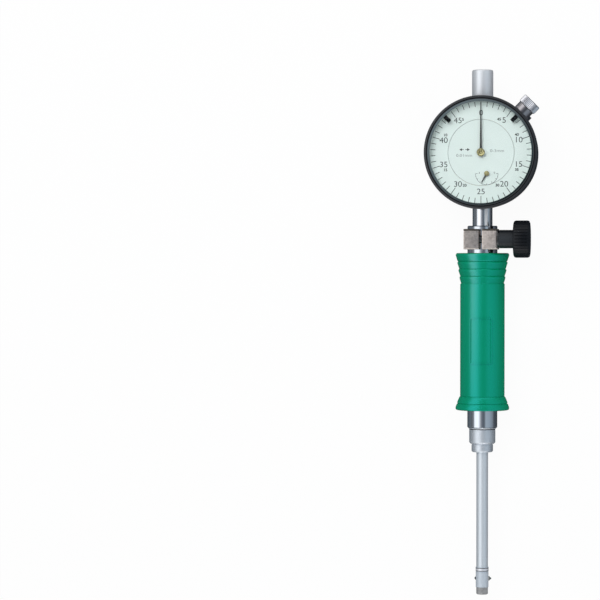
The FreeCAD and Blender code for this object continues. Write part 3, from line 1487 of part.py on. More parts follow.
def make_gear_train():
    module = s.gear_module.number
    pitch = math.pi * module
    small_teeth = int(s.pinion_teeth.number)
    large_teeth = int(s.large_gear_teeth.number)
    middle_teeth = int(s.middle_gear_teeth.number)
    small = module * small_teeth / 2
    large = module * large_teeth / 2
    middle_wheel = module * middle_teeth / 2
    counter = (s.counter_x.number, counter_y.number)
    centre = (0.0, 0.0)
    middle = (middle_x.number, middle_y.number)
    take_up = (take_up_x.number, take_up_y.number)
    shaft = s.arbor_radius.number
    pivot = s.pivot_radius.number
    play = s.end_play.number
    low_pivot = (pivot, ledge.number + play, bridge_top.number + play)
    high_pivot_top = front_top.number
    pinion_room = 2 * play

    # Rack arbor: its pinion has a gap facing the rack, where the rack has a tooth
    half = s.rack_pinion_half_length.number
    rear_top = -s.rear_bearing_drop.number
    rear_low = rear_top - s.rear_bearing_thickness.number
    rack_module = s.rack_pitch.number / math.pi
    rack_arbor = arbor([
        (pivot, rear_low, rear_top + play),
        (shaft, rear_top + play, hand_top.number + play),
    ], counter)
    rack_phase = math.pi + math.pi / small_teeth
    rack_pinion = gear(
        small_teeth, rack_pinion_radius.number, rack_module, -half, half, counter, rack_phase)
    shaped("rack_arbor", rack_arbor.fuse(rack_pinion))

    to_middle = math.atan2(middle[1] - counter[1], middle[0] - counter[0])
    shaped("rack_gear", gear(
        large_teeth, large, module, first_gear_low.number, first_gear_top.number, counter, to_middle, shaft))

    # Middle arbor
    middle_phase = meshed_phase(to_middle, large, to_middle, small, pitch)
    middle_arbor = arbor([
        low_pivot,
        (shaft, bridge_top.number + play, front_low.number - play),
        (pivot, front_low.number - play, high_pivot_top),
    ], middle)
    middle_pinion = gear(
        small_teeth, small, module, first_gear_low.number - pinion_room,
        first_gear_top.number + pinion_room, middle, middle_phase)
    shaped("middle_arbor", middle_arbor.fuse(middle_pinion))
    to_centre = math.atan2(centre[1] - middle[1], centre[0] - middle[0])
    shaped("middle_gear", gear(
        middle_teeth, middle_wheel, module, middle_gear_low.number, middle_gear_top.number, middle,
        to_centre, shaft))

    # Centre arbor, whose pinion meshes with the middle gear and the take-up gear
    centre_phase = meshed_phase(to_centre, middle_wheel, to_centre, small, pitch)
    centre_arbor = arbor([
        low_pivot,
        (shaft, bridge_top.number + play, pointer_top.number + s.hub_rise.number + 2 * play),
    ], centre)
    centre_pinion = gear(
        small_teeth, small, module, middle_gear_low.number - pinion_room,
        take_up_top.number + pinion_room, centre, centre_phase)
    shaped("centre_arbor", centre_arbor.fuse(centre_pinion))

    # Take-up arbor, loaded by the hairspring
    to_take_up = math.atan2(take_up[1], take_up[0])
    take_up_phase = meshed_phase(centre_phase, small, to_take_up, large, pitch)
    take_up_arbor = arbor([
        low_pivot,
        (shaft, bridge_top.number + play, front_low.number - play),
        (s.gear_hub_radius.number, bridge_top.number + 2 * play, take_up_low.number),
        (pivot, front_low.number - play, high_pivot_top),
    ], take_up)
    shaped("take_up_arbor", take_up_arbor)
    shaped("take_up_gear", gear(
        large_teeth, large, module, take_up_low.number, take_up_top.number, take_up, take_up_phase, shaft))

    # Hands
    shaped("counter_hand", hand(
        counter, math.radians(s.counter_hand_angle.number), s.counter_hand_length.number,
        s.counter_hand_width.number, s.pointer_tip_width.number, hand_low.number,
        s.hand_thickness.number, s.counter_hub_radius.number, (hand_low - s.hub_drop).number,
        hand_top.number + 2 * play))
    shaped("main_pointer", hand(
        centre, math.pi / 2, pointer_length.number, s.pointer_root_width.number,
        s.pointer_tip_width.number, pointer_low.number, s.pointer_thickness.number,
        s.pointer_hub_radius.number, hand_low.number, (pointer_top + s.hub_rise).number))


def hand(middle, angle, length, root_width, tip_width, low, thickness, hub_radius, hub_low, hub_top):
    """A tapered hand on a round hub, bored for its arbor."""
    half_root = root_width / 2
    half_tip = tip_width / 2
    corners = [(0, -half_root), (length, -half_tip), (length, half_tip), (0, half_root)]
    points = [Vector(along, across, low) for along, across in corners]
    blade = Part.Face(Part.makePolygon(points + [points[0]])).extrude(Vector(0, 0, thickness))
    blade.rotate(Vector(0, 0, 0), Vector(0, 0, 1), math.degrees(angle))
    blade.translate(Vector(middle[0], middle[1], 0))
    hub = Part.makeCylinder(hub_radius, hub_top - hub_low, Vector(middle[0], middle[1], hub_low))
    bore = Part.makeCylinder(
        s.arbor_radius.number, hub_top - hub_low, Vector(middle[0], middle[1], hub_low))
    return blade.fuse(hub).cut(bore)


def make_springs():
    """The spindle's tension spring, the hairspring, and the posts that hold their fixed ends."""
    wire = s.spindle_spring_wire.number
    post_line = -spring_post_reach
    shaped("spindle_spring", coil(
        s.spindle_spring_radius.number, wire, s.spindle_spring_turns.number,
        post_line.number + s.spring_post_radius.number + s.touch_gap.number,
        guide_pin_reach.number - s.guide_pin_radius.number - s.touch_gap.number,
        -s.spring_line_x.number, 0.0,
    ))

    strip = s.hairspring_strip.number
    inner = s.gear_hub_radius.number + s.touch_gap.number + strip / 2
    outer = s.hairspring_outer_radius.number
    turns = s.hairspring_turns.number
    end_angle = math.pi / 2
    steps = int(turns * 20)
    middle = Vector(take_up_x.number, take_up_y.number, 0)
    low = bridge_top.number + 5 * s.end_play.number
    edges = {1: [], -1: []}
    for step in range(steps + 1):
        share = step / steps
        angle = end_angle - 2 * math.pi * turns * (1 - share)
        for side in edges:
            radius = inner + (outer - inner) * share + side * strip / 2
            edges[side].append(
                middle + Vector(radius * math.cos(angle), radius * math.sin(angle), low))
    points = edges[1] + edges[-1][::-1]
    spiral = Part.Face(Part.makePolygon(points + [points[0]]))
    shaped("hairspring", spiral.extrude(Vector(0, 0, s.hairspring_height.number)))

    spring_post = primitive("Cylinder", "spring_post", {
        "Radius": s.spring_post_radius,
        "Height": bridge_top + s.spindle_spring_radius + s.spindle_spring_wire,
    }, shift=(-s.spring_line_x, post_line, -(s.spindle_spring_radius + s.spindle_spring_wire)))
    stud_x, stud_y, stud_radius = stud_disc()
    hairspring_post = primitive("Cylinder", "hairspring_post", {
        "Radius": stud_radius, "Height": s.plate_thickness + s.hairspring_stud_rise,
    }, shift=(stud_x, stud_y, ledge))
    grouped("spring_posts", [spring_post, hairspring_post])


def write_parts():
    """Checks every object and writes each node's solid or solids."""
    document.recompute()
    for piece in document.Objects:
        if "Invalid" in piece.State or "Error" in piece.State:
            raise RuntimeError("%s failed: %s" % (piece.Name, piece.State))
    for node in nodes:
        shape = node.Shape
        if shape.isNull() or not shape.isValid() or not shape.Solids:
            raise RuntimeError("%s has no sound shape" % node.Label)
    os.makedirs("parts", exist_ok=True)
    for node in nodes:
        node.Shape.exportStep("parts/%s.step" % node.Label)


make_handle_tube()
make_grip()
make_reducing_adapter()
make_probe()
make_push_rod()
make_contact()
make_clamp_ring()
make_thumb_screw()
make_case()
make_back_cover()
make_stem_and_cap()
make_plates()
make_dial()
make_bezel()
make_snap_ring()
make_limit_marker("limit_marker_left", s.marker_angle)
make_limit_marker("limit_marker_right", -s.marker_angle)
make_bezel_lock()
make_spindle()
make_guide_rail()
make_rear_bracket()
make_gear_train()
make_springs()
write_parts()
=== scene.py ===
import math

import bmesh
import bpy
from mathutils import Matrix, Vector


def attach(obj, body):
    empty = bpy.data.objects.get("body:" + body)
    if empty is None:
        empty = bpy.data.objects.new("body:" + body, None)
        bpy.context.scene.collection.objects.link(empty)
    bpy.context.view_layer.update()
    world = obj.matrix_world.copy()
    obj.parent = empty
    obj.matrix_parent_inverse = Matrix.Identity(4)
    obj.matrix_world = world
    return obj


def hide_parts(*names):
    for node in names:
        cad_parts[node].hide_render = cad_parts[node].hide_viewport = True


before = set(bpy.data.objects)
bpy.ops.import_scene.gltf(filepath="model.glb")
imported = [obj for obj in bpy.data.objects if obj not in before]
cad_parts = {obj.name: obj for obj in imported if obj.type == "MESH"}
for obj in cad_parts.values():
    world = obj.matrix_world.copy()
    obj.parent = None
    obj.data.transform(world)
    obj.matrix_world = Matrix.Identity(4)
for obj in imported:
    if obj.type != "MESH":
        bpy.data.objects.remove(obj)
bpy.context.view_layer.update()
MM = 0.001

# Studio
# The gauge lies on a pale table under a camera that looks almost straight down, a little from its
# right. A long soft lamp at the upper left lights it, and a curved reflector draws the bands on metal.
PIXELS_WIDE = 600.0
FOCAL_PIXELS = 2465.0
AXIS_HEIGHT = 10.75

camera_data = bpy.data.cameras.new("camera")
camera_data.sensor_width = 36.0
camera_data.lens = FOCAL_PIXELS * camera_data.sensor_width / PIXELS_WIDE
camera_data.clip_start = 0.01
camera = bpy.data.objects.new("camera", camera_data)
camera.location = (75.2 * MM, -43.3 * MM, 1000.0 * MM)
camera.rotation_euler = (math.radians(-0.90), math.radians(8.58), 0.0)
bpy.context.scene.collection.objects.link(camera)
bpy.context.scene.camera = camera
bpy.context.scene.view_settings.view_transform = "Standard"


class Value:
    """A shader socket that takes part in plain arithmetic."""

    def __init__(self, finish, socket):
        self.finish = finish
        self.socket = socket

    def maths(self, operation, left, right=None):
        return self.finish.node("ShaderNodeMath", {"operation": operation}, {0: left, 1: right})

    def __add__(self, other):
        return self.maths("ADD", self, other)

    def __radd__(self, other):
        return self.maths("ADD", other, self)

    def __sub__(self, other):
        return self.maths("SUBTRACT", self, other)

    def __rsub__(self, other):
        return self.maths("SUBTRACT", other, self)

    def __mul__(self, other):
        return self.maths("MULTIPLY", self, other)

    def __rmul__(self, other):
        return self.maths("MULTIPLY", other, self)

    def __lt__(self, other):
        return self.maths("LESS_THAN", self, other)

    def __gt__(self, other):
        return self.maths("GREATER_THAN", self, other)

    def __abs__(self):
        return self.maths("ABSOLUTE", self)


class Finish:
    """One material, built node by node round a Principled shader."""

    def __init__(self, name, base, roughness, metallic=0.0, **fixed):
        self.material = bpy.data.materials.new(name)
        self.material.use_nodes = True
        self.tree = self.material.node_tree
        self.tree.nodes.clear()
        self.output = self.tree.nodes.new("ShaderNodeOutputMaterial")
        self.shader = self.tree.nodes.new("ShaderNodeBsdfPrincipled")
        self.show(Value(self, self.shader.outputs[0]))
        self.set("Base Color", base)
        self.set("Roughness", roughness)
        self.set("Metallic", metallic)
        for socket, value in fixed.items():
            self.set(socket.replace("_", " "), value)

    def show(self, surface):
        self.tree.links.new(surface.socket, self.output.inputs[0])

    def fill(self, socket, value):
        if isinstance(value, Value):
            self.tree.links.new(value.socket, socket)
        elif isinstance(value, tuple) and socket.type == "RGBA":
            socket.default_value = (*value, 1.0)
        elif value is not None:
            socket.default_value = value

    def set(self, socket, value):
        self.fill(self.shader.inputs[socket], value)

    def node(self, kind, settings=None, sockets=None, out=0):
        """A node of that kind: its settings first, then its sockets' values or links."""
        made = self.tree.nodes.new(kind)
        for setting, value in (settings or {}).items():
            if setting == "stops":
                stops = made.color_ramp.elements
                for index, (place, colour) in enumerate(value):
                    stop = stops[index] if index < 2 else stops.new(place)
                    stop.position = place
                    stop.color = (*colour, 1.0)
            else:
                setattr(made, setting, value)
        for key, value in (sockets or {}).items():
            self.fill(made.inputs[key], value)
        return Value(self, made.outputs[out])

    def place(self, across=1.0, along=1.0, up=1.0):
        """The point on the piece in millimetres, stretched along each of the three directions."""
        return self.node("ShaderNodeMapping", {}, {
            "Vector": self.node("ShaderNodeTexCoord", out="Object"),
            "Scale": (across / MM, along / MM, up / MM),
        })

    def spot(self, axis):
        """How far along X, Y or Z a point lies, in metres."""
        return self.node("ShaderNodeSeparateXYZ", {}, {
            0: self.node("ShaderNodeTexCoord", out="Object")}, axis)

    def noise(self, vector, scale=1.0, detail=2.0, roughness=0.5):
        return self.node("ShaderNodeTexNoise", {}, {
            "Vector": vector, "Scale": scale, "Detail": detail, "Roughness": roughness,
        })

    def mix(self, factor, first, second):
        return self.node(
            "ShaderNodeMix", {"data_type": "RGBA"}, {0: factor, 6: first, 7: second}, 2)

    def bump(self, height, depth):
        self.set("Normal", self.node(
            "ShaderNodeBump", {}, {"Height": height, "Distance": depth * MM, "Strength": 1.0}))


def to_object(form, name, finish):
    """A form as an object of the scene, without the normals that a solid's copy brings along."""
    mesh = bpy.data.meshes.new(name)
    form.to_mesh(mesh)
    form.free()
    if "custom_normal" in mesh.attributes:
        mesh.attributes.remove(mesh.attributes["custom_normal"])
    mesh.materials.append(finish.material)
    piece = bpy.data.objects.new(name, mesh)
    bpy.context.scene.collection.objects.link(piece)
    return piece


def lamp(name, place, target, size, power):
    """A soft lamp that no shiny piece mirrors."""
    data = bpy.data.lights.new(name, "AREA")
    data.shape = "RECTANGLE"
    data.size, data.size_y = size
    data.energy = power
    light = bpy.data.objects.new(name, data)
    light.location = place
    light.rotation_euler = (Vector(target) - Vector(place)).to_track_quat("-Z", "Y").to_euler()
    light.visible_glossy = False
    bpy.context.scene.collection.objects.link(light)


def only_in_reflections(piece):
    """A studio piece that is seen only where metal or glass mirrors it."""
    piece.visible_camera = False
    piece.visible_diffuse = False
    piece.visible_shadow = False
    piece.visible_transmission = False


def sheet(half_width, place=Matrix.Identity(4)):
    """A flat square."""
    form = bmesh.new()
    bmesh.ops.create_grid(form, x_segments=1, y_segments=1, size=half_width, matrix=place)
    return form


TABLE_HALF_WIDTH = 1.5
TABLE_GLOW = 0.95
table = Finish("white_table", (0.85, 0.85, 0.85), 0.8)
rays = [table.node("ShaderNodeLightPath", out=kind)
        for kind in ("Is Camera Ray", "Is Glossy Ray", "Is Transmission Ray")]
white = table.node("ShaderNodeEmission", {}, {"Color": (1.0, 1.0, 1.0), "Strength": 1.0})
table.show(table.node("ShaderNodeMixShader", {}, {
    0: TABLE_GLOW * (rays[0] + rays[1] + rays[2]), 1: Value(table, table.shader.outputs[0]),
    2: white,
}))
to_object(sheet(TABLE_HALF_WIDTH), "table", table)

# A dark mat under the gauge, which only the metal's edges mirror
MAT_HALF_WIDTH = 0.5
MAT_LIFT = 0.1 * MM
mat = Finish("dark_mat", (0.075, 0.09, 0.1), 0.9)
mat.set("Base Color", mat.node("ShaderNodeValToRGB", {"stops": [
    (0.0, (0.10, 0.12, 0.14)), (0.46, (0.10, 0.12, 0.14)), (0.5, (0.045, 0.055, 0.065)),
    (0.54, (0.06, 0.07, 0.085)), (0.62, (0.13, 0.15, 0.17)), (1.0, (0.20, 0.22, 0.24)),
]}, {0: mat.spot("X") + 0.5}))
only_in_reflections(to_object(
    sheet(MAT_HALF_WIDTH, Matrix.Translation((0, 0, MAT_LIFT))), "mat_for_dark_edges", mat))

# The reflector's brightness by angle from straight up: dark low on the left, the white lamp, a dark
# gap round the camera, and a grey wall on the right
REFLECTOR_RADIUS = 400 * MM
REFLECTOR_LOW_END = -0.55
REFLECTOR_TOP_END = 0.4
REFLECTOR_STRENGTH = 2.0
REFLECTOR_BANDS = [
    (-90, (0.055, 0.06, 0.065)), (-78, (0.075, 0.082, 0.09)), (-64, (0.11, 0.12, 0.13)),
    (-54, (0.56, 0.58, 0.60)), (-30, (0.63, 0.65, 0.67)), (-22, (0.56, 0.575, 0.60)),
    (-14, (0.32, 0.33, 0.35)), (-6, (0.15, 0.16, 0.175)), (4, (0.075, 0.085, 0.10)),
    (18, (0.055, 0.065, 0.075)), (24, (0.11, 0.13, 0.15)), (31, (0.19, 0.225, 0.255)),
    (60, (0.165, 0.20, 0.235)), (76, (0.13, 0.155, 0.18)), (90, (0.11, 0.13, 0.15)),
]
reflector = Finish("reflector", (0.0, 0.0, 0.0), 1.0)
turn = reflector.node(
    "ShaderNodeMath", {"operation": "ARCTAN2"}, {0: reflector.spot("X"), 1: reflector.spot("Z")})
bands = reflector.node("ShaderNodeValToRGB", {
    "stops": [(angle / 180 + 0.5, colour) for angle, colour in REFLECTOR_BANDS],
}, {0: turn * (1 / math.pi) + 0.5})
reflector.show(reflector.node(
    "ShaderNodeEmission", {}, {"Color": bands, "Strength": REFLECTOR_STRENGTH}))
reflector.material.cycles.emission_sampling = "NONE"
form = bmesh.new()
low_left = [form.verts.new((-REFLECTOR_RADIUS, y, 0.0))
            for y in (REFLECTOR_LOW_END, REFLECTOR_TOP_END)]
edge = form.edges.new(low_left)
bmesh.ops.spin(form, geom=[edge, *low_left], cent=(0, 0, 0), axis=(0, 1, 0),
               angle=math.pi, steps=40, use_duplicate=False)
only_in_reflections(to_object(form, "curved_reflector", reflector))

# Two upright cards close its ends
for name, y, strength in (
        ("upper_card", REFLECTOR_TOP_END, 1.1), ("lower_card", REFLECTOR_LOW_END, 1.6)):
    card = Finish(name, (0.0, 0.0, 0.0), 1.0)
    card.set("Emission Color", (0.8, 0.8, 0.8))
    card.set("Emission Strength", strength)
    card.material.cycles.emission_sampling = "NONE"
    upright = Matrix.Translation((0.0, y, REFLECTOR_RADIUS)) @ Matrix.Rotation(math.pi / 2, 4, "X")
    only_in_reflections(to_object(sheet(REFLECTOR_RADIUS, upright), name, card))

world = bpy.data.worlds.new("studio")
bpy.context.scene.world = world
world.use_nodes = True
backdrop = world.node_tree.nodes["Background"]
backdrop.inputs["Color"].default_value = (0.95, 0.98, 1.0, 1.0)
backdrop.inputs["Strength"].default_value = 0.64
lamp("lamp_upper_left", (-0.17, 0.27, 0.6), (0.0, -0.06, 0.01), (0.4, 0.5), 2.2)
lamp("lamp_right", (0.5, -0.1, 0.45), (0.0, -0.07, 0.01), (0.3, 0.6), 0.55)

# Handle tube
# A length of ground steel tube with a chromed face. Three slots make its top end a collet, which the
# clamp closes on the indicator's stem. Its lower end has a bevelled rim and carries the adapter.
SHARP_ANGLE = math.radians(28.0)
FLAT_ANGLE = math.radians(0.5)
CLOSE = 0.01 * MM
RIM_CHAMFER = 0.5 * MM
RIM_SHOULDER_RISE = 0.3 * MM


def crease(form):
    """Smooth rounds with crisp edges."""
    for face in form.faces:
        face.smooth = True
    for edge in form.edges:
        edge.smooth = len(edge.link_faces) == 2 and edge.calc_face_angle() < SHARP_ANGLE


def bevel(form, items, width, segments, affect="EDGES"):
    """Edges or corners cut back by a width in the form's own unit."""
    bmesh.ops.bevel(form, geom=items, offset=width, offset_type="OFFSET", segments=segments,
                    profile=0.5, affect=affect, clamp_overlap=True, material=-1)


def soften(form, width, limit=50.0):
    """A small round on every sharp edge."""
    sharp = [edge for edge in form.edges
             if len(edge.link_faces) == 2 and edge.calc_face_angle() > math.radians(limit)]
    bevel(form, sharp, width * MM, 2)


def edges_where(form, inside):
    """The edges that have both ends where a test says."""
    return [edge for edge in form.edges if all(inside(vert.co) for vert in edge.verts)]


def node_form(node, whole_flats=False):
    """A copy of a solid's mesh, joined up, and where asked with its flat faces whole."""
    form = bmesh.new()
    form.from_mesh(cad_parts[node].data)
    bmesh.ops.remove_doubles(form, verts=form.verts, dist=0.002 * MM)
    if whole_flats:
        bmesh.ops.dissolve_limit(form, angle_limit=FLAT_ANGLE, verts=form.verts, edges=form.edges)
    return form


def spun(outline, place, steps=96):
    """A round form from radius and height along its own axis, set in its place."""
    form = bmesh.new()
    points = [form.verts.new((radius, 0.0, height)) for radius, height in outline]
    edges = [form.edges.new(pair) for pair in zip(points, points[1:])]
    bmesh.ops.spin(form, geom=points + edges, cent=(0, 0, 0), axis=(0, 0, 1),
                   angle=2 * math.pi, steps=steps, use_merge=True)
    bmesh.ops.remove_doubles(form, verts=form.verts, dist=0.002)
    bmesh.ops.recalc_face_normals(form, faces=form.faces)
    bmesh.ops.transform(form, matrix=place, verts=form.verts)
    return form


def axis_at(x, y, z, turn=Matrix.Identity(4)):
    """The place of a round form: its foot in millimetres, and which way its axis points."""
    return Matrix.Diagonal((MM, MM, MM, 1.0)) @ Matrix.Translation((x, y, z)) @ turn


ALONG_GAUGE = axis_at(0.0, 0.0, AXIS_HEIGHT, Matrix.Rotation(-math.pi / 2, 4, "X"))
UPRIGHT = axis_at(0.0, 0.0, 0.0)


def fit(form, name, finish, slot, body, *nodes):
    """The finished piece in place of its solids, on their body."""
    crease(form)
    piece = to_object(form, name, finish)
    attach(piece, body)
    if nodes:
        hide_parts(*nodes)
    return piece


def dress(node, finish):
    """A solid whose shape is right as it is, with its metal on it."""
    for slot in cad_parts[node].material_slots:
        slot.material = finish.material


chrome = Finish("chrome", (0.76, 0.79, 0.83), 0.09, 1.0)
wiped = chrome.noise(chrome.place(0.1, 0.04, 0.1), 1.0, 4.0)
chrome.set("Roughness", 0.05 + 0.1 * wiped)
chrome.set("Base Color", chrome.mix(wiped, (0.72, 0.75, 0.79), (0.80, 0.83, 0.87)))
chrome.bump(chrome.noise(chrome.place(0.5, 0.2, 0.5)), 0.003)
form = node_form("handle_tube")
lowest = min(vert.co.y for vert in form.verts)
widest = max(vert.co.x for vert in form.verts)
rim = edges_where(form, lambda spot: spot.y < lowest + CLOSE and math.hypot(
    spot.x, spot.z - AXIS_HEIGHT * MM) > widest - 2 * CLOSE)
bevel(form, rim, RIM_CHAMFER, 1)
shoulder = [vert for vert in form.verts if abs(vert.co.y - lowest - RIM_CHAMFER) < 2 * CLOSE]
bmesh.ops.translate(form, vec=(0, RIM_SHOULDER_RISE, 0), verts=shoulder)
fit(form, "chromed_tube", chrome, "chromed_steel", "handle", "handle_tube")

# Grip
# A sleeve of green polypropylene over the tube, moulded with three rings under its top flare and a
# shallow groove in the bottom one, and with a raised rim round a bare field on its front. A clear
# coat on a strip left of the middle, fading towards the foot, is a painted highlight.
GRIP_TOP = -40.0
GRIP_FOOT = -103.0
GRIP_BORE = 5.75
GRIP_BODY = 8.9
PAINTED_HIGHLIGHT_MIDDLE = -3.3 * MM
PAINTED_HIGHLIGHT_HALF_WIDTH = 2.1 * MM
PAINTED_HIGHLIGHT_FADE = 58.0 * MM

green = Finish("moulded_green", (0.001, 0.24, 0.15), 0.3, IOR=2.1, Specular_IOR_Level=1.0,
               Specular_Tint=(0.055, 0.55, 0.73))
grain = green.noise(green.place(), 6.0, 3.0, 0.6)
flow = green.noise(green.place(0.12, 0.03, 0.12), 1.0, 3.0)
green.set("Base Color", green.mix(
    0.5 * grain + 0.5 * flow, (0.0, 0.245, 0.100), (0.0, 0.30, 0.132)))
green.set("Roughness", 0.22 + 0.10 * flow)
green.bump(grain, 0.012)
# Painted highlight: a clear coat only on a strip left of the middle, where the lamp's gleam falls,
# fading towards the foot
from_painted_highlight = abs(green.spot("X") - PAINTED_HIGHLIGHT_MIDDLE)
green.set("Coat Weight", green.node("ShaderNodeMath", {"operation": "MULTIPLY", "use_clamp": True}, {
    0: 1.3 - (1.0 / PAINTED_HIGHLIGHT_HALF_WIDTH) * from_painted_highlight,
    1: 1.75 + (1.0 / PAINTED_HIGHLIGHT_FADE) * green.spot("Y"),
}))
green.set("Coat Roughness", 0.2)


def ring(top, low, wide, narrow):
    """One moulded ring's outline: a rounded shoulder, a slight belly, and a round into the groove."""
    return [
        (wide - 0.42, top), (wide - 0.2, top - 0.14), (wide - 0.05, top - 0.38),
        (wide, top - 0.68),
        ((wide + narrow) / 2 + 0.06, (top + low) / 2), (narrow + 0.03, low + 0.45),
        (narrow - 0.04, low + 0.14), (narrow - 0.12, low - 0.02), (narrow - 0.13, low - 0.18),
    ]


outline = [
    (GRIP_BORE, GRIP_TOP), (9.95, GRIP_TOP), (10.28, -40.07), (10.52, -40.25), (10.67, -40.55),
    (10.70, -40.85), (10.66, -41.1), (10.40, -41.9), (10.14, -42.8), (10.04, -43.02),
    (9.90, -43.14), (9.88, -43.30),
]
outline += ring(-43.35, -46.05, 10.06, 9.50)
outline += ring(-46.35, -48.95, 9.62, 9.10)
outline += ring(-49.25, -51.95, 9.20, 8.72)
outline += [
    (8.66, -52.25), (8.84, -52.32), (GRIP_BODY, -52.5), (GRIP_BODY, -97.30), (8.80, -97.42),
    (8.80, -97.52), (9.05, -97.60), (9.30, -98.0), (9.78, -99.1), (10.06, -99.85),
    (10.08, -100.12), (9.90, -100.25), (9.88, -100.42), (10.18, -100.52), (10.34, -100.8),
    (10.66, -101.7), (10.75, -102.15), (10.72, -102.5), (10.55, -102.8), (10.2, -102.96),
    (9.8, GRIP_FOOT), (GRIP_BORE, GRIP_FOOT), (GRIP_BORE, GRIP_TOP),
]
fit(spun(outline, ALONG_GAUGE, 128), "moulded_grip", green, "grip_plastic", "handle", "grip")

FIELD_HALF_WIDTH = 4.6
FIELD_HALF_LENGTH = 9.3
FIELD_MIDDLE = -75.0
FIELD_CORNER = 1.2
FIELD_RIM_WIDTH = 0.5
FIELD_RIM_HEIGHT = 0.33
FIELD_RIM_SUNK = 0.05
form = bmesh.new()
bmesh.ops.create_grid(form, x_segments=10, y_segments=24, size=1.0)
bmesh.ops.scale(form, vec=(FIELD_HALF_WIDTH, FIELD_HALF_LENGTH, 1.0), verts=form.verts)
corners = [vert for vert in form.verts if len(vert.link_edges) == 2]
bevel(form, corners, FIELD_CORNER, 4, "VERTICES")
inset = bmesh.ops.inset_region(form, faces=form.faces, thickness=FIELD_RIM_WIDTH,
                               use_even_offset=True, use_boundary=True)
rim = set(inset["faces"])
bmesh.ops.delete(form, geom=[face for face in form.faces if face not in rim], context="FACES")
raised = bmesh.ops.extrude_face_region(form, geom=list(form.faces))
lifted = [item for item in raised["geom"] if isinstance(item, bmesh.types.BMVert)]
bmesh.ops.translate(form, vec=(0, 0, FIELD_RIM_HEIGHT), verts=lifted)
for vert in form.verts:
    around = vert.co.x / GRIP_BODY
    reach = GRIP_BODY - FIELD_RIM_SUNK + vert.co.z
    vert.co = Vector((reach * math.sin(around), FIELD_MIDDLE + vert.co.y,
                      AXIS_HEIGHT + reach * math.cos(around))) * MM
bmesh.ops.recalc_face_normals(form, faces=form.faces)
fit(form, "bare_moulded_field", green, "grip_plastic", "handle")

# Adapter and probe
# Stainless steel, turned and ground. The adapter screws into the tube, behind a bevelled ring and a
# dark joint, and holds the thin probe tube. The slotted head carries the contacts and a bright band
# whose rounded edges are coloured dark as painted shade, and a dark hardened cap closes its end.


def turned(name, base, roughness, spread, along="along", lines=5.0, depth=0.003, metallic=1.0):
    """Metal with the fine rings that a lathe leaves round the given direction."""
    made = Finish(name, base, roughness, metallic)
    stretch = {"across": 0.12, "along": 0.12, "up": 0.12}
    stretch[along] = lines
    rings = made.noise(made.place(**stretch), 1.0, 3.0)
    cloud = made.noise(made.place(0.25, 0.1, 0.25), 1.0, 3.0)
    made.set("Roughness", roughness + spread * (rings + cloud - 1.0))
    made.set("Base Color", made.mix(rings, tuple(0.9 * part for part in base), base))
    made.bump(rings, depth)
    return made


def grained(name, base, darker, roughness, grain, depth, metallic=0.0):
    """A moulded, painted or blasted face with an even fine grain."""
    made = Finish(name, base, roughness, metallic)
    fine = made.noise(made.place(), grain, 3.0, 0.65)
    cloud = made.noise(made.place(0.15, 0.15, 0.15), 1.0, 3.0)
    made.set("Base Color", made.mix(0.7 * fine + 0.3 * cloud, darker, base))
    made.set("Roughness", roughness + 0.14 * (cloud - 0.5) + 0.14 * (fine - 0.5))
    made.bump(fine, depth)
    return made


steel = turned("turned_steel", (0.85, 0.89, 0.94), 0.47, 0.12, metallic=0.85)
ground = turned("ground_steel", (0.84, 0.89, 0.94), 0.47, 0.10, "along", 8.0, 0.002, 0.66)
blasted = turned("blasted_steel", (0.67, 0.73, 0.80), 0.56, 0.10, "along", 3.0, 0.004, 0.45)
dark_steel = turned("blackened_steel", (0.10, 0.105, 0.11), 0.35, 0.10)
hard = grained("hard_metal", (0.60, 0.60, 0.60), (0.10, 0.10, 0.105), 0.6, 0.8, 0.10, 0.3)
carbide = grained("carbide", (0.25, 0.28, 0.27), (0.16, 0.18, 0.175), 0.35, 4.0, 0.01, 0.6)
fit(spun([
    (5.95, -109.6), (6.008, -109.605), (5.508, -110.405), (5.45, -110.4), (5.95, -109.6),
], ALONG_GAUGE), "tube_chamfer", ground, "chromed_steel", "handle")
fit(spun([
    (4.65, -110.42), (5.26, -110.42), (5.26, -110.72), (4.65, -110.72), (4.65, -110.42),
], ALONG_GAUGE), "dark_joint_ring", dark_steel, "satin_steel", "handle")
fit(spun([
    (1.3, -102.4), (4.6, -102.4), (4.6, -110.7), (4.95, -110.7), (5.18, -110.8),
    (5.25, -111.0), (5.25, -115.75), (5.18, -115.98), (4.72, -116.5), (4.6, -116.56),
    (4.05, -116.58), (4.02, -116.85), (4.25, -116.9), (4.3, -117.0), (4.3, -119.2),
    (4.22, -119.5), (4.02, -119.75), (3.7, -119.88), (2.35, -119.9), (2.35, -111.9),
    (1.3, -111.9), (1.3, -102.4),
], ALONG_GAUGE), "turned_adapter", steel, "satin_steel", "handle", "reducing_adapter")
fit(node_form("probe_tube"), "ground_tube", ground, "satin_steel", "handle", "probe_tube")
fit(node_form("probe_head"), "blasted_head", blasted, "satin_steel", "handle", "probe_head")
BAND_LOW_EDGE = -167.5 * MM
BAND_TOP_EDGE = -166.65 * MM
band_metal = turned("band_metal", (0.88, 0.89, 0.94), 0.42, 0.10, "along", 6.0, 0.003, 0.6)
# Painted shade: the band's rounded edges, above and below its bright middle, are coloured dark
level = band_metal.spot("Y")
band_metal.set("Base Color", band_metal.mix(
    (BAND_LOW_EDGE < level) * (level < BAND_TOP_EDGE), (0.10, 0.10, 0.11), (0.90, 0.91, 0.96)))
fit(spun([
    (2.50, -166.25), (2.585, -166.4), (2.60, -166.65), (2.60, -167.45), (2.585, -167.7),
    (2.50, -167.85), (2.50, -166.25),
], ALONG_GAUGE), "turned_head_band", band_metal, "satin_steel", "handle")
fit(node_form("end_cap"), "hard_end_cap", hard, "hard_metal", "handle", "end_cap")

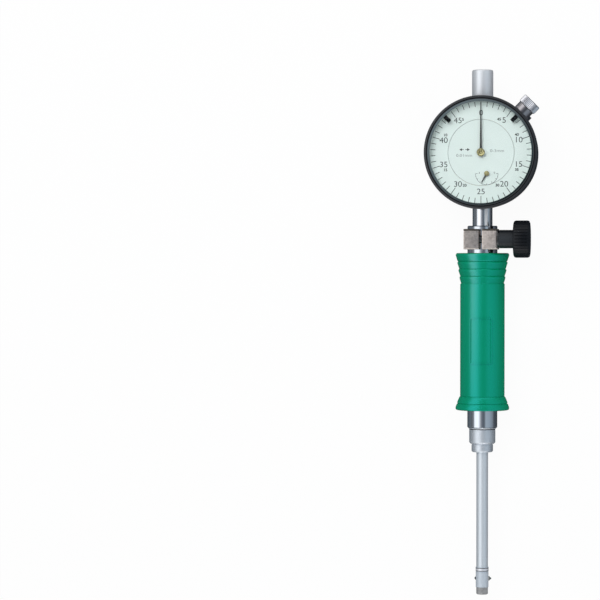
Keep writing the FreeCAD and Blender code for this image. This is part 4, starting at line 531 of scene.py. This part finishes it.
# Contacts
# The fixed anvil is steel with a dark carbide tip, held by a small screw in the head. Opposite it
# the plunger carries a carbide ball, and its cone rides on the push rod's cone.
fit(node_form("anvil"), "steel_anvil", hard, "satin_steel", "handle", "anvil")
fit(node_form("anvil_tip"), "carbide_tip", carbide, "hard_metal", "handle", "anvil_tip")
fit(node_form("contact_plunger"), "steel_plunger", dark_steel, "satin_steel", "contact",
    "contact_plunger")
fit(node_form("contact_ball"), "carbide_ball", carbide, "hard_metal", "contact", "contact_ball")
dress("anvil_lock_screw", steel)

# Push rod
# A thin ground rod with a hard button at its top and a collar for the return spring, guided in the
# tube by a brass bush. The spring is drawn shorter by the rod's stroke, since no pose squeezes it.
ROD_STROKE = 0.56 * MM
brass = turned("turned_brass", (0.72, 0.56, 0.27), 0.30, 0.12, "up")
wire = turned("spring_wire", (0.50, 0.51, 0.53), 0.28, 0.10, "across", 3.0)
for node in ("push_rod", "rod_button", "rod_collar"):
    dress(node, steel)
dress("rod_guide_top", brass)
form = node_form("return_spring")
spring_top = max(vert.co.y for vert in form.verts)
spring_length = spring_top - min(vert.co.y for vert in form.verts)
for vert in form.verts:
    vert.co.y = spring_top - (spring_top - vert.co.y) * (1.0 - ROD_STROKE / spring_length)
fit(form, "return_coil", wire, "spring_steel", "handle", "return_spring")

# Clamp
# A split ring of nickel-plated zinc with two ears, its faces blasted to a fine grain. Its left and
# lower edges and a narrow streak right of the middle are paler, a painted highlight, and its brow is
# coloured dark, a painted reflection of the black bezel next to it. The thumb screw draws the ears
# together over the tube's slotted end.
NICKEL_FACE = (0.98, 0.88, 0.82)
NICKEL_PITS = (0.30, 0.25, 0.215)
NICKEL_GRAIN = 0.95
HIGHLIGHT_FOOT = -38.1 * MM
HIGHLIGHT_LEFT = -6.3 * MM
HIGHLIGHT_STREAK_START = 0.6 * MM
HIGHLIGHT_STREAK_END = 1.15 * MM
BROW_REFLECTION_FOOT = -31.2 * MM
BROW_WIDTH = 0.7 * MM
CLAMP_ROUND = 0.2
nickel = grained("blasted_nickel", NICKEL_FACE, NICKEL_PITS, 0.52, NICKEL_GRAIN, 0.16, 1.0)
level = nickel.spot("Y")
across = nickel.spot("X")
# Painted highlight: the left and lower edges and a narrow streak right of the middle are made less
# metallic, so they show paler
clamp_highlight_sides = (across < HIGHLIGHT_LEFT) + (across < HIGHLIGHT_STREAK_END) * (HIGHLIGHT_STREAK_START < across)
clamp_highlight = nickel.node(
    "ShaderNodeMath", {"operation": "MAXIMUM"}, {0: level < HIGHLIGHT_FOOT, 1: clamp_highlight_sides})
nickel.set("Metallic", 1.0 - 0.8 * clamp_highlight)
speckle = nickel.noise(nickel.place(), NICKEL_GRAIN, 3.0, 0.65)
# Painted reflection: the clamp's top strip, its brow, is coloured dark as if it mirrored the black
# bezel
nickel.set("Base Color", nickel.mix(
    BROW_REFLECTION_FOOT < level, nickel.mix(speckle, NICKEL_PITS, NICKEL_FACE), (0.16, 0.14, 0.12)))
form = node_form("clamp_ring", whole_flats=True)
front = max(vert.co.z for vert in form.verts)
upper = max(vert.co.y for vert in form.verts)
brow = edges_where(form, lambda spot: spot.z > front - CLOSE and spot.y > upper - CLOSE)
bevel(form, brow, BROW_WIDTH, 1)
soften(form, CLAMP_ROUND)
fit(form, "plated_clamp", nickel, "nickel_plate", "clamp", "clamp_ring")
fit(node_form("clamp_washer"), "thin_washer", dark_steel, "satin_steel", "washer", "clamp_washer")

# Thumb screw
# A black moulded knob with fine straight flutes and a smooth neck, whose ridge is coloured greyer as
# a painted highlight. It turns on a steel stud that runs through both ears.
NECK_HIGHLIGHT_LEVEL = -34.6 * MM
NECK_HIGHLIGHT_FADE = 3.4 * MM
NECK_HIGHLIGHT_END = 13.0 * MM
knob_black = grained("knob_black", (0.005, 0.006, 0.008), (0.003, 0.0035, 0.005), 0.40, 5.0, 0.01)
knob_black.set("Specular IOR Level", 0.3)
# Painted highlight: the neck is coloured greyer along its ridge, fading to black above and below it
from_neck_highlight = abs(knob_black.spot("Y") - NECK_HIGHLIGHT_LEVEL)
knob_black.set("Base Color", knob_black.mix(
    (knob_black.spot("X") < NECK_HIGHLIGHT_END) * (1.15 - (1.0 / NECK_HIGHLIGHT_FADE) * from_neck_highlight),
    (0.003, 0.004, 0.006), (0.027, 0.031, 0.036)))
fit(node_form("thumb_knob"), "fluted_knob", knob_black, "black_plastic", "thumb_screw", "thumb_knob")
dress("clamp_stud", dark_steel)

# Case and cover
# The case is a turned aluminium cup with a baked black paint, and the flat back cover is held on it
# by four small slotted screws.
paint = grained("black_paint", (0.030, 0.031, 0.034), (0.018, 0.019, 0.021), 0.34, 4.0, 0.006)
fit(node_form("indicator_case"), "painted_case", paint, "case_paint", "indicator",
    "indicator_case")
fit(node_form("back_cover"), "painted_cover", paint, "case_paint", "indicator", "back_cover")

HEAD_PLACES = ((14, 14), (-14, 14), (-14, -14), (14, -14))
HEAD_RADIUS = 1.45
HEAD_THICKNESS = 0.3
HEAD_LIFT = 0.22
HEAD_TURN = 0.9
SLOT_HALF_WIDTH = 0.22
for index, (x, y) in enumerate(HEAD_PLACES):
    form = bmesh.new()
    for side in (-1, 1):
        half = bmesh.ops.create_cone(form, cap_ends=True, segments=40, radius1=HEAD_RADIUS,
                                     radius2=HEAD_RADIUS, depth=HEAD_THICKNESS)["verts"]
        bmesh.ops.translate(form, vec=(0, 0, HEAD_LIFT), verts=half)
        faces = {face for vert in half for face in vert.link_faces}
        edges = {edge for vert in half for edge in vert.link_edges}
        split = bmesh.ops.bisect_plane(
            form, geom=[*half, *edges, *faces], plane_co=(side * SLOT_HALF_WIDTH, 0, 0),
            plane_no=(side, 0, 0), clear_inner=True)
        open_edges = [item for item in split["geom_cut"] if isinstance(item, bmesh.types.BMEdge)]
        bmesh.ops.contextual_create(form, geom=open_edges)
    bmesh.ops.recalc_face_normals(form, faces=form.faces)
    turned_head = axis_at(x, y, 0.0, Matrix.Rotation(HEAD_TURN * index, 4, "Z"))
    bmesh.ops.transform(form, matrix=turned_head, verts=form.verts)
    fit(form, "slotted_head_%d" % (index + 1), steel, "satin_steel", "indicator")
dress("back_cover_screws", dark_steel)

# Stem, bushes and cap
# The polished stem is pressed into the case's wall, with a brass bush at each end of the spindle's
# run, and the satin cap screws in above it. A paler streak down the stem, right of its middle, is a
# painted highlight.
satin = turned("satin_cap", (0.93, 0.95, 0.98), 0.46, 0.10, "along", 4.0, 0.004, 0.66)
CAP_ROUND = 0.25
CAP_SHARP_ANGLE = 35.0
STEM_HIGHLIGHT_START = 1.2 * MM
STEM_HIGHLIGHT_END = 2.3 * MM
stem_chrome = Finish("stem_chrome", (0.84, 0.85, 0.87), 0.12, 1.0)
across = stem_chrome.spot("X")
# Painted highlight: a streak right of the middle is made less metallic, so it shows paler
stem_highlight = (STEM_HIGHLIGHT_START < across) * (across < STEM_HIGHLIGHT_END)
stem_chrome.set("Metallic", 1.0 - 0.8 * stem_highlight)
fit(node_form("stem"), "polished_stem", stem_chrome, "chromed_steel", "indicator", "stem")
form = node_form("spindle_cap", whole_flats=True)
soften(form, CAP_ROUND, CAP_SHARP_ANGLE)
fit(form, "turned_cap", satin, "chromed_steel", "indicator", "spindle_cap")
for node in ("spindle_bush_upper", "spindle_bush_lower"):
    dress(node, brass)

# Movement plates
# Two brass plates on turned pillars carry the arbors, with a rear bracket, a rail for the
# spindle's guide pin and the posts of both springs.
for node in ("bridge_plate", "front_plate", "plate_pillars", "rear_bracket", "guide_rail",
             "spring_posts"):
    dress(node, brass)
dress("plate_screws", steel)

# Spindle and gear train
# The steel spindle's rack turns the first arbor, and brass gears pass the motion to both hands. A
# hairspring takes up the play of the teeth, and a coil spring returns the spindle.
for node in ("spindle", "spindle_guide_pin", "contact_point", "rack_arbor", "middle_arbor",
             "centre_arbor", "take_up_arbor"):
    dress(node, steel)
for node in ("rack_gear", "middle_gear", "take_up_gear"):
    dress(node, brass)
for node in ("spindle_spring", "hairspring", "snap_ring"):
    dress(node, wire)

# Dial
# A fixed middle and a scale ring that turns with the bezel, both of aluminium with a mint white
# lacquer. Fifty divisions and their numerals are printed on the ring in dark grey.
DIAL_TOP = 18.85
INK_THICKNESS = 0.02
SCALE_DIVISIONS = 50
OPENING_RADIUS = 20.25
SEAM_RADIUS = 13.3
MAJOR_TICK_START = 17.3
MINOR_TICK_START = 18.2
TICK_WIDTH = 0.26
NUMERAL_RADIUS = 15.65
NUMERAL_HEIGHT = 3.2
SMALL_NUMERAL_HEIGHT = 1.5
NUMERAL_STRETCH = 1.06

# The small numerals' places, across and up from the dial's middle: beside the two large ones next
# to the top, beside the two next to the foot, and above or below the others
SMALL_BESIDE_TOP = (7.2, 13.1)
SMALL_BESIDE_LOW = (6.5, 13.1)
SMALL_ABOVE = (14.2, 6.95)


def on_dial(x, y, angle=0.0, stretch=(1.0, 1.0)):
    """Where a printed mark lies: millimetres from the dial's middle, turned about its own place."""
    return (Matrix.Translation((x * MM, y * MM, DIAL_TOP * MM)) @ Matrix.Rotation(angle, 4, "Z")
            @ Matrix.Diagonal((stretch[0] * MM, stretch[1] * MM, MM, 1.0)))


def add_line(form, inner, outer, width, angle, middle=(0.0, 0.0)):
    """A straight mark along a radius, at an angle from straight up, clockwise."""
    spot = bmesh.ops.create_grid(form, x_segments=1, y_segments=1, size=0.5)["verts"]
    bmesh.ops.translate(form, vec=(0, 0.5, INK_THICKNESS), verts=spot)
    bmesh.ops.scale(form, vec=(width, outer - inner, 1.0), verts=spot)
    bmesh.ops.translate(form, vec=(0, inner, 0), verts=spot)
    bmesh.ops.transform(form, matrix=on_dial(*middle, -math.radians(angle)), verts=spot)


def add_text(form, words, height, x, y, stretch=NUMERAL_STRETCH, weight=0.0):
    """Printed characters, centred on a place."""
    letters = bpy.data.curves.new(words, "FONT")
    letters.body = words
    letters.size = height
    letters.offset = weight * height
    letters.align_x = "CENTER"
    letters.align_y = "CENTER"
    carrier = bpy.data.objects.new(words, letters)
    bpy.context.scene.collection.objects.link(carrier)
    seen = carrier.evaluated_get(bpy.context.evaluated_depsgraph_get())
    mesh = bpy.data.meshes.new_from_object(seen)
    mesh.transform(Matrix.Translation((0, 0, INK_THICKNESS)))
    mesh.transform(on_dial(x, y, 0.0, (stretch, 1.0)))
    form.from_mesh(mesh)
    bpy.data.objects.remove(carrier)
    bpy.data.meshes.remove(mesh)


def add_arc(form, radius, width, start, end, middle=(0.0, 0.0)):
    """A printed line along a circle, between two angles counted from the right."""
    ends = [form.verts.new((radius + side * width / 2, 0.0, INK_THICKNESS)) for side in (-1, 1)]
    seed = form.edges.new(ends)
    bmesh.ops.rotate(form, cent=(0, 0, 0), verts=ends,
                     matrix=Matrix.Rotation(math.radians(start), 3, "Z"))
    before = set(form.verts) - set(ends)
    bmesh.ops.spin(form, geom=[seed, *ends], cent=(0, 0, 0), axis=(0, 0, 1),
                   angle=math.radians(end - start), steps=max(12, int((end - start) / 3)))
    new = [vert for vert in form.verts if vert not in before]
    bmesh.ops.transform(form, matrix=on_dial(*middle), verts=new)


lacquer = grained("dial_lacquer", (0.565, 0.622, 0.612), (0.54, 0.597, 0.587), 0.5, 3.0, 0.002)
ink = grained("dark_ink", (0.022, 0.026, 0.03), (0.014, 0.016, 0.02), 0.6, 4.0, 0.002)
pale_ink = grained("pale_ink", (0.20, 0.23, 0.24), (0.16, 0.18, 0.19), 0.55, 4.0, 0.002)
fit(node_form("dial_centre"), "dial_middle", lacquer, "dial_lacquer", "indicator", "dial_centre")
fit(node_form("scale_ring"), "dial_ring", lacquer, "dial_lacquer", "bezel_assembly", "scale_ring")

form = bmesh.new()
for division in range(SCALE_DIVISIONS):
    start = MINOR_TICK_START if division % 5 else MAJOR_TICK_START
    add_line(form, start, OPENING_RADIUS, TICK_WIDTH, division * 360.0 / SCALE_DIVISIONS)
for number in range(0, SCALE_DIVISIONS, 5):
    angle = 2 * math.pi * number / SCALE_DIVISIONS
    x = NUMERAL_RADIUS * math.sin(angle)
    y = NUMERAL_RADIUS * math.cos(angle)
    add_text(form, str(number), NUMERAL_HEIGHT, x, y)
    if number % 25:
        across, up = SMALL_ABOVE
        if number in (5, 45):
            across, up = SMALL_BESIDE_TOP
        elif number in (20, 30):
            across, up = SMALL_BESIDE_LOW
        add_text(form, str(SCALE_DIVISIONS - number), SMALL_NUMERAL_HEIGHT,
                 math.copysign(across, x), math.copysign(up, y), weight=0.03)
bmesh.ops.recalc_face_normals(form, faces=form.faces)
fit(form, "printed_scale", ink, "pointer_lacquer", "bezel_assembly")

# Counter scale and unit marks
# Printed on the dial's fixed middle: a half circle of six steps for the turns, the seam's grey
# circle, the reading of one division with its two arrows, and the range.
COUNTER_X = 2.3
COUNTER_Y = -8.4
COUNTER_RADIUS = 4.5
COUNTER_STEPS = 6
COUNTER_SHORT_STEP = 0.55
COUNTER_LONG_STEP = 0.85
COUNTER_NUMERAL_HEIGHT = 1.1
COUNTER_NUMERAL_REACH = 3.0
COUNTER_NUMERAL_RISE = 0.25
FINE_LINE = 0.14
ARROW_LEVEL = 1.15
ARROW_RADIUS = 0.68
ARROW_SHAFT = (-0.1, 1.1)
ARROW_SHAFT_WIDTH = 0.24

form = bmesh.new()
add_arc(form, COUNTER_RADIUS, FINE_LINE, 180.0, 360.0, (COUNTER_X, COUNTER_Y))
for step in range(COUNTER_STEPS + 1):
    depth = COUNTER_SHORT_STEP if step % 2 else COUNTER_LONG_STEP
    add_line(form, COUNTER_RADIUS - depth, COUNTER_RADIUS, FINE_LINE,
             90.0 + step * 180.0 / COUNTER_STEPS, (COUNTER_X, COUNTER_Y))
for numeral, side in (("0", 1), ("3", -1)):
    add_text(form, numeral, COUNTER_NUMERAL_HEIGHT, COUNTER_X + side * COUNTER_NUMERAL_REACH,
             COUNTER_Y + COUNTER_NUMERAL_RISE)
for side, x in ((-1, -7.95), (1, -5.15)):
    tip = bmesh.ops.create_circle(
        form, cap_ends=True, radius=ARROW_RADIUS, segments=3)["verts"]
    bmesh.ops.rotate(form, cent=(0, 0, 0), verts=tip,
                     matrix=Matrix.Rotation(-side * math.pi / 2, 3, "Z"))
    bmesh.ops.translate(form, vec=(0, 0, INK_THICKNESS), verts=tip)
    bmesh.ops.transform(form, matrix=on_dial(x, ARROW_LEVEL), verts=tip)
    add_line(form, *ARROW_SHAFT, ARROW_SHAFT_WIDTH, -90.0 * side, (x, ARROW_LEVEL))
bmesh.ops.recalc_face_normals(form, faces=form.faces)
fit(form, "printed_counter", ink, "pointer_lacquer", "indicator")

SEAM_LINE_INSET = 0.15
UNIT_HEIGHT = 1.6
UNIT_STRETCH = 1.25
READING_PLACE = (-6.7, -1.2)
RANGE_PLACE = (6.4, 0.6)
form = bmesh.new()
add_arc(form, SEAM_RADIUS - SEAM_LINE_INSET, FINE_LINE, 0.0, 360.0)
add_text(form, "0.01mm", UNIT_HEIGHT, *READING_PLACE, UNIT_STRETCH)
add_text(form, "0-3mm", UNIT_HEIGHT, *RANGE_PLACE, UNIT_STRETCH)
bmesh.ops.recalc_face_normals(form, faces=form.faces)
fit(form, "printed_units", pale_ink, "pointer_lacquer", "indicator")

# Hands
# Blackened steel blades on turned brass hubs. The long one sits on the centre arbor, and the short
# one, which counts the turns, on the rack arbor.
hand_black = grained("hand_black", (0.012, 0.012, 0.013), (0.008, 0.008, 0.009), 0.4, 4.0, 0.002)
hub_brass = turned("hub_brass", (0.30, 0.27, 0.14), 0.38, 0.12, "across", 3.0)
fit(node_form("main_pointer"), "long_hand", hand_black, "pointer_lacquer",
    "centre_arbor_assembly", "main_pointer")
fit(node_form("counter_hand"), "short_hand", hand_black, "pointer_lacquer",
    "rack_arbor_assembly", "counter_hand")
fit(spun([
    (0.0, 20.75), (0.35, 20.75), (0.5, 20.62), (0.62, 20.55), (0.95, 20.55), (1.15, 20.62),
    (1.45, 20.6), (1.6, 20.48), (1.6, 20.3), (0.0, 20.3),
], UPRIGHT, 40), "long_hand_hub", hub_brass, "brass", "centre_arbor_assembly")
fit(spun([
    (0.0, 19.95), (0.3, 19.95), (0.42, 19.85), (0.8, 19.85), (1.02, 19.75), (1.02, 19.6),
    (0.0, 19.6),
], axis_at(COUNTER_X, COUNTER_Y, 0.0), 40), "short_hand_hub", hub_brass, "brass",
    "rack_arbor_assembly")

# Bezel and glass
# A turned black ring that holds the glass on a pale seat ring and grips the case with a snap ring.
# Its face has a low outer step, a darker black line inside it that is painted shade in the step's
# recess, and a sloping mouth with painted light and shade, paler towards the upper left.
MOUTH_SHADE_FADE = 54.0 * MM
bezel_black = grained("bezel_black", (0.016, 0.017, 0.02), (0.010, 0.011, 0.013), 0.36, 4.0, 0.006)
bezel_black.set("IOR", 1.65)
painted_light_slope = Finish("bezel_slope", (0.06, 0.075, 0.085), 0.3, Specular_IOR_Level=0.12)
# Painted light and shade: the mouth's colour runs from pale at the upper left to near black at the
# lower right
to_low_right = painted_light_slope.spot("X") - painted_light_slope.spot("Y")
painted_light_slope.set("Base Color", painted_light_slope.mix(
    0.5 + (1.0 / MOUTH_SHADE_FADE) * to_low_right, (0.125, 0.158, 0.172), (0.008, 0.014, 0.016)))
# The same very dark black serves the marker tabs and a ring in the bezel's step, which is painted
# shade of that recess
black_tabs_and_groove_shade = grained("bezel_line", (0.004, 0.005, 0.007), (0.002, 0.003, 0.004), 0.7, 4.0, 0.004)
black_tabs_and_groove_shade.set("Specular IOR Level", 0.1)
fit(spun([
    (20.63, 15.25), (21.7, 15.25), (21.8, 15.35), (21.8, 18.35), (22.45, 18.35), (22.55, 18.45),
    (22.55, 22.35), (22.5, 22.52), (22.28, 22.74), (22.1, 22.8), (21.62, 22.8), (21.5, 22.72),
    (21.36, 22.72), (21.36, 22.98), (21.28, 23.05), (21.06, 23.03), (20.25, 22.55),
    (20.63, 22.55), (20.63, 16.8), (21.05, 16.8), (21.05, 16.2), (20.63, 16.2), (20.63, 15.25),
], UPRIGHT, 180), "painted_bezel", bezel_black, "case_paint", "bezel_assembly", "bezel")
fit(spun([
    (21.07, 23.02), (21.05, 23.045), (20.26, 22.575), (20.27, 22.55), (21.07, 23.02),
], UPRIGHT, 180), "bezel_mouth", painted_light_slope, "case_paint", "bezel_assembly")
# Painted shade: a ring of the darkest black in the recess of the bezel's step
fit(spun([
    (21.62, 22.81), (21.5, 22.73), (21.37, 22.73), (21.37, 22.98), (21.29, 23.06),
], UPRIGHT, 180), "bezel_line", black_tabs_and_groove_shade, "case_paint", "bezel_assembly")
seat_grey = grained("seat_grey", (0.60, 0.66, 0.65), (0.54, 0.60, 0.59), 0.6, 4.0, 0.006)
fit(node_form("dial_seat_ring"), "pale_seat_ring", seat_grey, "black_plastic", "bezel_assembly",
    "dial_seat_ring")

glass = Finish("clear_glass", (0.98, 1.0, 0.99), 0.01, Transmission_Weight=1.0, IOR=1.2)
shadow = glass.node("ShaderNodeLightPath", out="Is Shadow Ray")
clear = glass.node("ShaderNodeBsdfTransparent", {}, {"Color": (0.98, 1.0, 0.99)})
glass.show(glass.node("ShaderNodeMixShader", {}, {
    0: shadow, 1: Value(glass, glass.shader.outputs[0]), 2: clear}))
fit(node_form("crystal"), "dial_glass", glass, "glass", "bezel_assembly", "crystal")

# Limit markers
# Two small tabs of black plastic, moulded with rounded edges. They slide round inside the bezel,
# under the glass, and mark the limits on the scale.
MARKER_START = 17.3
MARKER_END = 20.5
MARKER_WIDTH = 1.65
MARKER_THICKNESS = 0.6
MARKER_LEVEL = 20.76
MARKER_EDGE = 0.12
for side, angle in (("left", 45.0), ("right", -45.0)):
    form = bmesh.new()
    bmesh.ops.create_cube(form, size=1.0)
    bmesh.ops.scale(form, verts=form.verts, vec=(
        MARKER_WIDTH, MARKER_END - MARKER_START, MARKER_THICKNESS))
    bmesh.ops.translate(form, verts=form.verts, vec=(
        0, (MARKER_START + MARKER_END) / 2, MARKER_LEVEL))
    bevel(form, form.edges, MARKER_EDGE, 2)
    bmesh.ops.transform(form, matrix=axis_at(
        0.0, 0.0, 0.0, Matrix.Rotation(math.radians(angle), 4, "Z")), verts=form.verts)
    fit(form, side + "_marker_tab", black_tabs_and_groove_shade, "black_plastic", side + "_marker",
        "limit_marker_" + side)

# Bezel lock
# A small chromed bracket, screwed to the case, holds a turned steel screw with a knurled head. The
# screw's shoe presses on the bezel and keeps it from turning.
knurled = turned("knurled_steel", (0.90, 0.88, 0.90), 0.26, 0.10, "across", 2.0, 0.003, 1.0)
dull_chrome = turned("dull_chrome", (0.46, 0.43, 0.44), 0.16, 0.06, "across", 2.0, 0.003)
LOCK_HEIGHT = 16.7
SHANK_FOOT = 23.04
SHANK_RADIUS = 1.0
KNOB_FOOT = 25.22
KNURL_RIDGES = 42
ALONG_LOCK = axis_at(0.0, 0.0, LOCK_HEIGHT, Matrix.Rotation(-math.pi / 4, 4, "Z")
                     @ Matrix.Rotation(-math.pi / 2, 4, "X"))

# The knob's loops: height along the screw, radius at the crests, radius at the roots
KNOB_LEVELS = ((KNOB_FOOT, 3.55, 3.55), (25.5, 4.0, 3.8), (28.44, 4.0, 3.8), (28.72, 3.55, 3.55))
form = bmesh.new()
turns = [math.pi * index / KNURL_RIDGES for index in range(2 * KNURL_RIDGES)]
loops = [
    [form.verts.new((radius * math.cos(turn), radius * math.sin(turn), level))
     for turn, radius in zip(turns, (crest, root) * KNURL_RIDGES)]
    for level, crest, root in KNOB_LEVELS
]
for low, high in zip(loops, loops[1:]):
    for index in range(2 * KNURL_RIDGES):
        after = (index + 1) % (2 * KNURL_RIDGES)
        form.faces.new((low[index], low[after], high[after], high[index]))
form.faces.new(loops[0])
form.faces.new(loops[-1])
bmesh.ops.recalc_face_normals(form, faces=form.faces)
bmesh.ops.transform(form, matrix=ALONG_LOCK, verts=form.verts)
knob = fit(form, "knurled_lock_knob", knurled, "satin_steel", "lock", "lock_screw")
for part in knob.data.polygons:
    part.use_smooth = False
fit(spun([
    (0.0, SHANK_FOOT), (SHANK_RADIUS, SHANK_FOOT), (SHANK_RADIUS, KNOB_FOOT), (0.0, KNOB_FOOT),
], ALONG_LOCK, 32), "lock_screw_shank", steel, "satin_steel", "lock")
fit(node_form("lock_bracket"), "lock_screw_bracket", dull_chrome, "satin_steel", "indicator",
    "lock_bracket")
dress("lock_shoe", steel)
dress("bracket_screw", steel)
